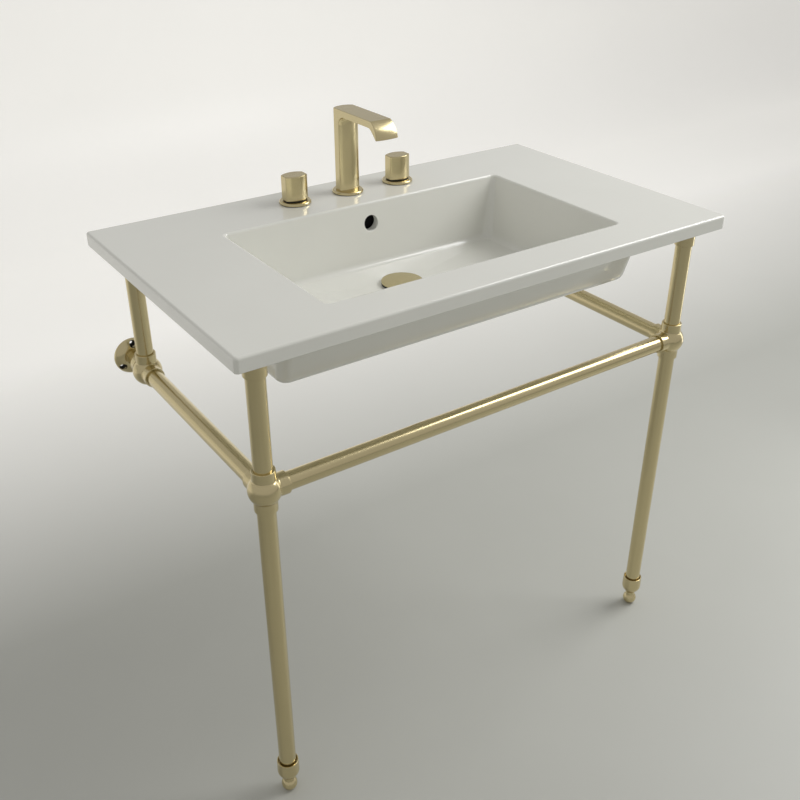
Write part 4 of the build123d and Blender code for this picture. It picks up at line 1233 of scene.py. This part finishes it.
waste_place = np.array((0, waste_y, 0))
cap_low, cap_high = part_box("drain_stopper")
cap_radius, cap_tall, cap_edge, cap_shoulder = cap_high.x, cap_high.z - cap_low.z, 2 * mm, 0.65 * mm
cap_foot_round, cap_round, cap_crown_round = 0.5 * mm, 0.9 * mm, 30 * mm
make_turned("stopper_cap", "drain_stopper", waste_place + (0, 0, cap_low.z),
            [(0, 0, 0), (cap_radius, 0, cap_foot_round), (cap_radius, cap_edge, cap_round),
             (0.6 * cap_radius, cap_edge + cap_shoulder, cap_crown_round), (0, cap_tall, 0)],
            body="stopper", segments=112, ring=False)

tail_low, tail_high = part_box("tailpiece")
tail_radius, tail_bore, tail_long = 15.875 * mm, 14.675 * mm, tail_high.z - tail_low.z
tail_neck, tail_neck_long = 15.5 * mm, 18 * mm
tail_edge, tail_step_edge, tail_end_edge = 0.4 * mm, 0.1 * mm, 0.3 * mm
make_turned("tail_tube", "tailpiece", waste_place + (0, 0, tail_low.z),
            [(tail_radius, 0, tail_edge), (tail_radius, tail_long - tail_neck_long, tail_step_edge),
             (tail_neck, tail_long - tail_neck_long, 0), (tail_neck, tail_long, tail_end_edge),
             (tail_bore, tail_long, tail_end_edge), (tail_bore, 0, tail_end_edge)])
print("cover plates 3, stopper cap 1, tail tube 1")

# %% [markdown]
# ## Threads
# Under the deck the shank, the valves and the waste body are threaded. A thread is a tube whose radius
# follows a triangle wave along a helix: the wave's phase is height / pitch minus turn, and its depth
# fades to nothing over the first and last pitch.

# %% Threaded tubes
thread_share, thread_steps, chamfer, bore_edge, bore_lead = 0.45, 5, 0.6 * mm, 0.3 * mm, 0.4 * mm


def thread_rows(length, radius, pitch, segments):
    """Heights and radii of a threaded run, as rows by columns."""
    rows = max(int(length / pitch * thread_steps), 8)
    height = np.linspace(0, length, rows + 1)[:, None]
    turn = np.linspace(0, 1, segments, endpoint=False)[None, :]
    wave = np.abs(2 * ((height / pitch - turn) % 1) - 1)
    fade = np.clip(np.minimum(height, length - height) / pitch, 0, 1)
    return np.broadcast_to(height, wave.shape), radius - thread_share * pitch * wave * fade


def make_threaded(shell, base, direction, radius, bore, length, pitch, segments=48):
    """A threaded tube with a chamfered end, open through its bore.

    Each row of the thread is one ring of the grid; plain rings (radius, height) close it to the bore.
    """
    heights, radii = thread_rows(length - chamfer, radius, pitch, segments)
    ends = np.array([(bore, 0), (radius - thread_share * pitch, length), (bore + bore_edge, length),
                     (bore, length - bore_lead)])
    plain = np.repeat(ends[:, :, None], segments, axis=2)
    radii = np.concatenate([plain[:1, 0], radii, plain[1:, 0]])
    heights = np.concatenate([plain[:1, 1], heights, plain[1:, 1]])
    grid, half_turn = ring_points(base, direction, heights, radii, segments)
    shell.add_grid(grid, wrap_rows=True, grain=np.stack([heights, half_turn[None] * radii], -1))


def sleeve(outside, inside, length, near_edge=0.0, far_edge=0.0):
    """The ring of corners of a plain sleeve, its outer edges softened by near_edge and far_edge."""
    return closed_ring([(outside, 0, near_edge), (outside, length, far_edge), (inside, length, 0),
                        (inside, 0, 0)])


def threaded_piece(name, node, runs, plain_parts):
    """Threaded runs and plain turned parts as one piece in place of a CAD node."""
    shell = Shell()
    for run in runs:
        make_threaded(shell, **run)
    for part in plain_parts:
        add_turned(shell, wrap=True, **part)
    dress(shell.build(name, raw_brass, smooth_angle=30), node)


# %% Spout shank
coarse_pitch, fine_pitch, lap = 1.8 * mm, 1.5 * mm, 1 * mm
stud_radius, hose_radius, shank_bore = 14 * mm, 10.45 * mm, 7 * mm
shank_long, shank_hose_long = 39 * mm, 18 * mm
shank_spigot, shank_spigot_long, shank_spigot_edge = 10 * mm, 12 * mm, 0.5 * mm
shank_place = np.array((0, tap_y, deck_under - lap))
shank_top = plate_top - shank_place[2] + lap
threaded_piece("spout_shank_threaded", "spout_shank", [
    dict(base=shank_place, direction=down, radius=stud_radius, bore=shank_bore, length=shank_long,
         pitch=coarse_pitch),
    dict(base=shank_place - (0, 0, shank_long - lap), direction=down, radius=hose_radius,
         bore=shank_bore, length=shank_hose_long, pitch=coarse_pitch, segments=40),
], [dict(base=shank_place - (0, 0, lap), direction=up, segments=48, corners=closed_ring([
    (stud_radius, 0, 0), (stud_radius, shank_top, 0), (shank_spigot, shank_top, 0),
    (shank_spigot, shank_top + shank_spigot_long, shank_spigot_edge),
    (shank_bore, shank_top + shank_spigot_long, 0), (shank_bore, 0, 0)]))])
print("shank from", round(shank_place[2] / mm), "mm down", round(shank_long / mm), "mm")

# %% Valve bodies
valve_bottom, outlet_z, valve_top = deck_top - 56 * mm, deck_top - 44 * mm, plate_top - 1 * mm
valve_stud_long, valve_bore, inlet_bore, inlet_long = 20 * mm, 10.1 * mm, 6.5 * mm, 19 * mm
outlet_radius, outlet_bore, outlet_from, outlet_long = 8.3 * mm, 5 * mm, 15 * mm, 26 * mm
collar_radius, collar_from, collar_long, collar_edge = 9.3 * mm, 9 * mm, 8 * mm, 0.6 * mm
valve_low_edge, valve_high_edge = 0.8 * mm, 0.3 * mm
for name, side in (("hot", -1), ("cold", 1)):
    place = np.array((side * tap_x, tap_y, deck_under - lap))
    bottom = np.array((*place[:2], valve_bottom))
    outlet = np.array((*place[:2], outlet_z))
    turn = np.array((-side * cos(pi / 4), sin(pi / 4), 0))
    body_long = place[2] - valve_stud_long + lap - valve_bottom
    threaded_piece(f"{name}_valve_threaded", f"{name}_valve_body", [
        dict(base=place, direction=down, radius=stud_radius, bore=valve_bore, length=valve_stud_long,
             pitch=coarse_pitch),
        dict(base=bottom + (0, 0, lap), direction=down, radius=hose_radius, bore=inlet_bore,
             length=inlet_long, pitch=coarse_pitch, segments=40),
        dict(base=outlet + turn * outlet_from, direction=turn, radius=outlet_radius, bore=outlet_bore,
             length=outlet_long, pitch=fine_pitch, segments=36),
    ], [
        dict(base=place - (0, 0, lap), direction=up, segments=48,
             corners=sleeve(stud_radius, valve_bore, valve_top - place[2] + lap)),
        dict(base=bottom, direction=up, segments=48,
             corners=sleeve(stud_radius, inlet_bore, body_long, valve_low_edge, valve_high_edge)),
        dict(base=outlet + turn * collar_from, direction=turn, segments=40,
             corners=sleeve(collar_radius, outlet_bore, collar_long, 0, collar_edge)),
    ])
    print(name, "valve at", place.round(4).tolist())

# %% Waste body: flange, mouth, thread and overflow ports
body_low, flange_top = (corner.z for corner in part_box("drain_body"))
body_radius, body_bore, body_core, flange_wide = 20.8 * mm, 18.5 * mm, 19.4 * mm, 31 * mm
thread_from, thread_pitch, thread_bore, thread_end = boss_bottom - 11 * mm, 2 * mm, 17 * mm, 0.2 * mm
tail_socket, tail_socket_top, tail_stop, tail_stop_top = 15.6 * mm, 18 * mm, 14.5 * mm, 20.5 * mm
flange_thick, mouth_radius, mouth_deep = 2 * mm, 22 * mm, 3.5 * mm
body_edge, flange_top_round = 0.5 * mm, 1 * mm
port_half_width, port_half_height, port_reach, port_up = 9 * mm, 4 * mm, 40 * mm, 9.5 * mm

thread_z, rim_z = thread_from - body_low, flange_top - body_low
shell = Shell()
make_threaded(shell, waste_place + (0, 0, thread_from), down, body_radius, thread_bore,
              thread_z - thread_end, thread_pitch, segments=64)
add_turned(shell, waste_place + (0, 0, body_low), up, closed_ring([
    (tail_socket, 0, 0), (body_core, 0, body_edge), (body_core, thread_z - body_edge, 0),
    (body_radius, thread_z, thread_end), (body_radius, rim_z - flange_thick, 0),
    (flange_wide, rim_z - flange_thick, mouth_edge), (flange_wide, rim_z, flange_top_round),
    (mouth_radius, rim_z, body_edge), (body_bore, rim_z - mouth_deep, body_edge),
    (body_bore, tail_stop_top, 0), (tail_stop, tail_stop_top, mouth_edge),
    (tail_stop, tail_socket_top, mouth_edge), (tail_socket, tail_socket_top, 0)]), 96, wrap=True)
waste_body = shell.build("waste_body_threaded", satin_brass, smooth_angle=30)
port_low = (-port_half_width, waste_y - port_reach, boss_bottom + port_up - port_half_height)
port_high = (port_half_width, waste_y + port_reach, boss_bottom + port_up + port_half_height)
cut_by(waste_body, block("port_cutter", port_low, port_high))
dress(waste_body, "drain_body")
print("waste body faces", len(waste_body.data.polygons))

# %% [markdown]
# ## Rubber, plastic and the small metal parts
# The gasket under the waste's flange shows in the bowl as a black lip, so it is turned here. The other
# parts keep their CAD shape and only take a finish: seals and pads in black rubber, washers and the
# stopper's sleeve in white plastic, the turning rings and the outlet insert in black plastic, nuts in
# machined brass, and screws in steel.


# %% Finishes of rubber, plastic and cast metal
def moulded(name, low, high, rough, grain_scale, height, sheen=0.0):
    """Rubber or plastic: two close tones, a moulded grain and a wandering roughness."""
    material, tree, shader = new_material(name)
    tone = place_group(tree, cloud, Scale=60.0).outputs[0]
    fine = place_group(tree, cloud, Scale=grain_scale).outputs[0]
    dust = place_group(tree, specks, Scale=700.0, Size=0.25).outputs[0]
    wire(tree, shader, Base_Color=tone_mix(tree, tone, low, high), Roughness=spread(tree, tone, *rough),
         Normal=bump(tree, dust, 0.00003, 0.3, bump(tree, fine, height, 0.5)))
    socket_value(shader, "Sheen Weight", sheen)
    return material


def cast_metal(name, low, high, rough):
    """Metal with no stored grain: fine machining noise on object coordinates."""
    material, tree, shader = new_material(name)
    tone = place_group(tree, cloud, Scale=40.0).outputs[0]
    fine = place_group(tree, cloud, Scale=900.0).outputs[0]
    wire(tree, shader, Base_Color=tone_mix(tree, tone, low, high),
         Roughness=spread(tree, fine, rough - 0.05, rough + 0.08),
         Normal=bump(tree, fine, 0.00002, 0.4))
    socket_value(shader, "Metallic", 1.0)
    return material


black_rubber = moulded("black rubber", (0.012, 0.012, 0.012), (0.022, 0.022, 0.021), (0.55, 0.75),
                       900.0, 0.00003, sheen=0.1)
white_plastic = moulded("white plastic", (0.62, 0.62, 0.60), (0.70, 0.70, 0.67), (0.35, 0.5),
                        500.0, 0.00002)
dark_plastic = moulded("black plastic", (0.014, 0.014, 0.015), (0.026, 0.026, 0.027), (0.32, 0.48),
                       600.0, 0.00002)
plain_brass = cast_metal("machined brass, plain", (0.50, 0.37, 0.17), (0.60, 0.46, 0.22), 0.30)
screw_steel = cast_metal("screw steel", (0.36, 0.36, 0.36), (0.46, 0.46, 0.46), 0.30)

# %% The lip gasket, and the parts that keep their CAD shape
gasket_hole, gasket_wide, gasket_tall, gasket_round = 21 * mm, 34 * mm, 3.3 * mm, 0.8 * mm
gasket_sheet, recess_top_gap, recess_foot_gap = 0.95 * mm, 0.3 * mm, 0.1 * mm
gasket_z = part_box("drain_flange_gasket")[0].z
make_turned("waste_lip_gasket", "drain_flange_gasket", waste_place + (0, 0, gasket_z),
            [(gasket_hole, 0, 0), (gasket_wide, 0, mouth_edge),
             (gasket_wide, gasket_tall, gasket_round),
             (flange_wide + recess_top_gap, gasket_tall, mouth_edge),
             (flange_wide + recess_foot_gap, gasket_sheet, 0), (gasket_hole, gasket_sheet, 0)],
            black_rubber, segments=96)
kept_parts = (
    (black_rubber, ("tap_base_gaskets", "drain_gasket", "tailpiece_seal", "stopper_seal", "deck_pads")),
    (white_plastic, ("tap_washers", "drain_washer", "stopper_cartridge")),
    (dark_plastic, ("spout_outlet", "hot_glide_ring", "cold_glide_ring")),
    (plain_brass, ("tap_locknuts", "drain_locknut", "stopper_stem", "stopper_bridge", "hot_stem",
                   "cold_stem", "hot_cartridge", "cold_cartridge")),
    (screw_steel, ("fitting_set_screws", "hot_handle_screw", "cold_handle_screw")),
)
for material, names in kept_parts:
    for node in names:
        for place in nodes[node].material_slots:
            place.material = material
    print(material.name, len(names), "parts")

# %% [markdown]
# ## Floor, wall and light
# The stage is one sheet: a pale grey floor that turns up into a low pale wall well behind the object,
# so no edge shows behind it in the main view. The wall glows a little, as painted light. Satin metal
# is drawn by what it reflects, so the light is a large soft lamp above on the right, a narrow upright
# lamp beside it that lays a thin bright line on every tube, and a plain warm room.

# %% Stage
sweep_start, sweep_radius, wall_height = 2.2, 0.5, 1.4
stage_front, stage_left, stage_right = -7.0, -7.0, 9.0
floor_tone_from, floor_tone_to, wall_painted_light = 0.35, 1.5, 0.24
room_colour, room_level = (1.0, 0.99, 0.965), 0.49


def stage_material():
    """Grey in front and white behind, by Y; the white part glows a little: painted light for a lit
    wall.
    """
    material, tree, shader = new_material("pale floor and wall")
    tone = place_group(tree, cloud, Scale=1.2).outputs[0]
    split = tree.nodes.new("ShaderNodeSeparateXYZ")
    tree.links.new(tree.nodes.new("ShaderNodeTexCoord").outputs["Object"], split.inputs[0])
    rise = tree.nodes.new("ShaderNodeMapRange")
    socket_value(rise, "From Min", floor_tone_from)
    socket_value(rise, "From Max", floor_tone_to)
    tree.links.new(split.outputs[1], rise.inputs["Value"])
    mix = tree.nodes.new("ShaderNodeMix")
    mix.data_type = "RGBA"
    tree.links.new(rise.outputs[0], mix.inputs["Factor"])
    tree.links.new(tone_mix(tree, tone, (0.47, 0.475, 0.44), (0.50, 0.505, 0.47)), mix.inputs["A"])
    tree.links.new(tone_mix(tree, tone, (0.80, 0.79, 0.76), (0.83, 0.82, 0.79)), mix.inputs["B"])
    # The white part's emission is painted light: a glow that stands in for a lit wall.
    wire(tree, shader, Base_Color=mix.outputs["Result"],
         Emission_Strength=math_node(tree, "MULTIPLY", rise.outputs[0], wall_painted_light))
    socket_value(shader, "Emission Color", (*room_colour, 1))
    socket_value(shader, "Roughness", 0.45)
    return material


def stage_sheet():
    """Floor, quarter turn and low wall as one grid: points (y, z) of the profile, carried along X."""
    angles = quarter(16)
    y = np.concatenate([[stage_front], sweep_start + sweep_radius * np.sin(angles),
                        [sweep_start + sweep_radius]])
    z = np.concatenate([[0.0], sweep_radius * (1 - np.cos(angles)), [wall_height]])
    x = np.array([stage_left, stage_right])[:, None]
    grid = np.stack(np.broadcast_arrays(x, y[None], z[None]), -1)
    mesh = bpy.data.meshes.new("stage")
    mesh.from_pydata(grid.reshape(-1, 3).tolist(), [],
                     grid_faces(2, len(y), wrap_columns=False).tolist())
    mesh.polygons.foreach_set("use_smooth", [True] * len(mesh.polygons))
    mesh.materials.append(stage_material())
    sheet = bpy.data.objects.new("stage", mesh)
    bpy.context.scene.collection.objects.link(sheet)
    sheet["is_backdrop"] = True


stage_sheet()
print("stage wall at", sweep_start + sweep_radius, "m, high", wall_height, "m")


# %% Lamps and room
def soft_lamp(name, place, aim, width, height, power):
    """An oblong lamp at a place, turned to a point."""
    data = bpy.data.lights.new(name, "AREA")
    data.shape = "RECTANGLE"
    data.size, data.size_y = width, height
    data.energy = power
    lamp = bpy.data.objects.new(name, data)
    bpy.context.scene.collection.objects.link(lamp)
    lamp.location = place
    lamp.visible_camera = False
    lamp.rotation_euler = (Vector(aim) - Vector(place)).to_track_quat("-Z", "Y").to_euler()
    print(name, power, "W")


def plain_world(level, colour):
    """A plain room of one colour, at one level for the camera, the metal and the ceramic alike."""
    world = bpy.data.worlds.new("studio")
    bpy.context.scene.world = world
    world.use_nodes = True
    back = world.node_tree.nodes["Background"]
    back.inputs[0].default_value = (*colour, 1)
    back.inputs[1].default_value = level


plain_world(room_level, room_colour)
soft_lamp("high lamp", place=(2.15, -0.6, 2.5), aim=(0, 0, 0.7), width=1.7, height=1.7, power=47)
soft_lamp("low lamp", place=(1.25, -0.35, 0.75), aim=(0, -0.3, 0.6), width=0.25, height=1.1, power=1.6)

# %% Size of the dressed object
low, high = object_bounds()
print("dressed box", [round(v, 4) for v in (*low, *high)])
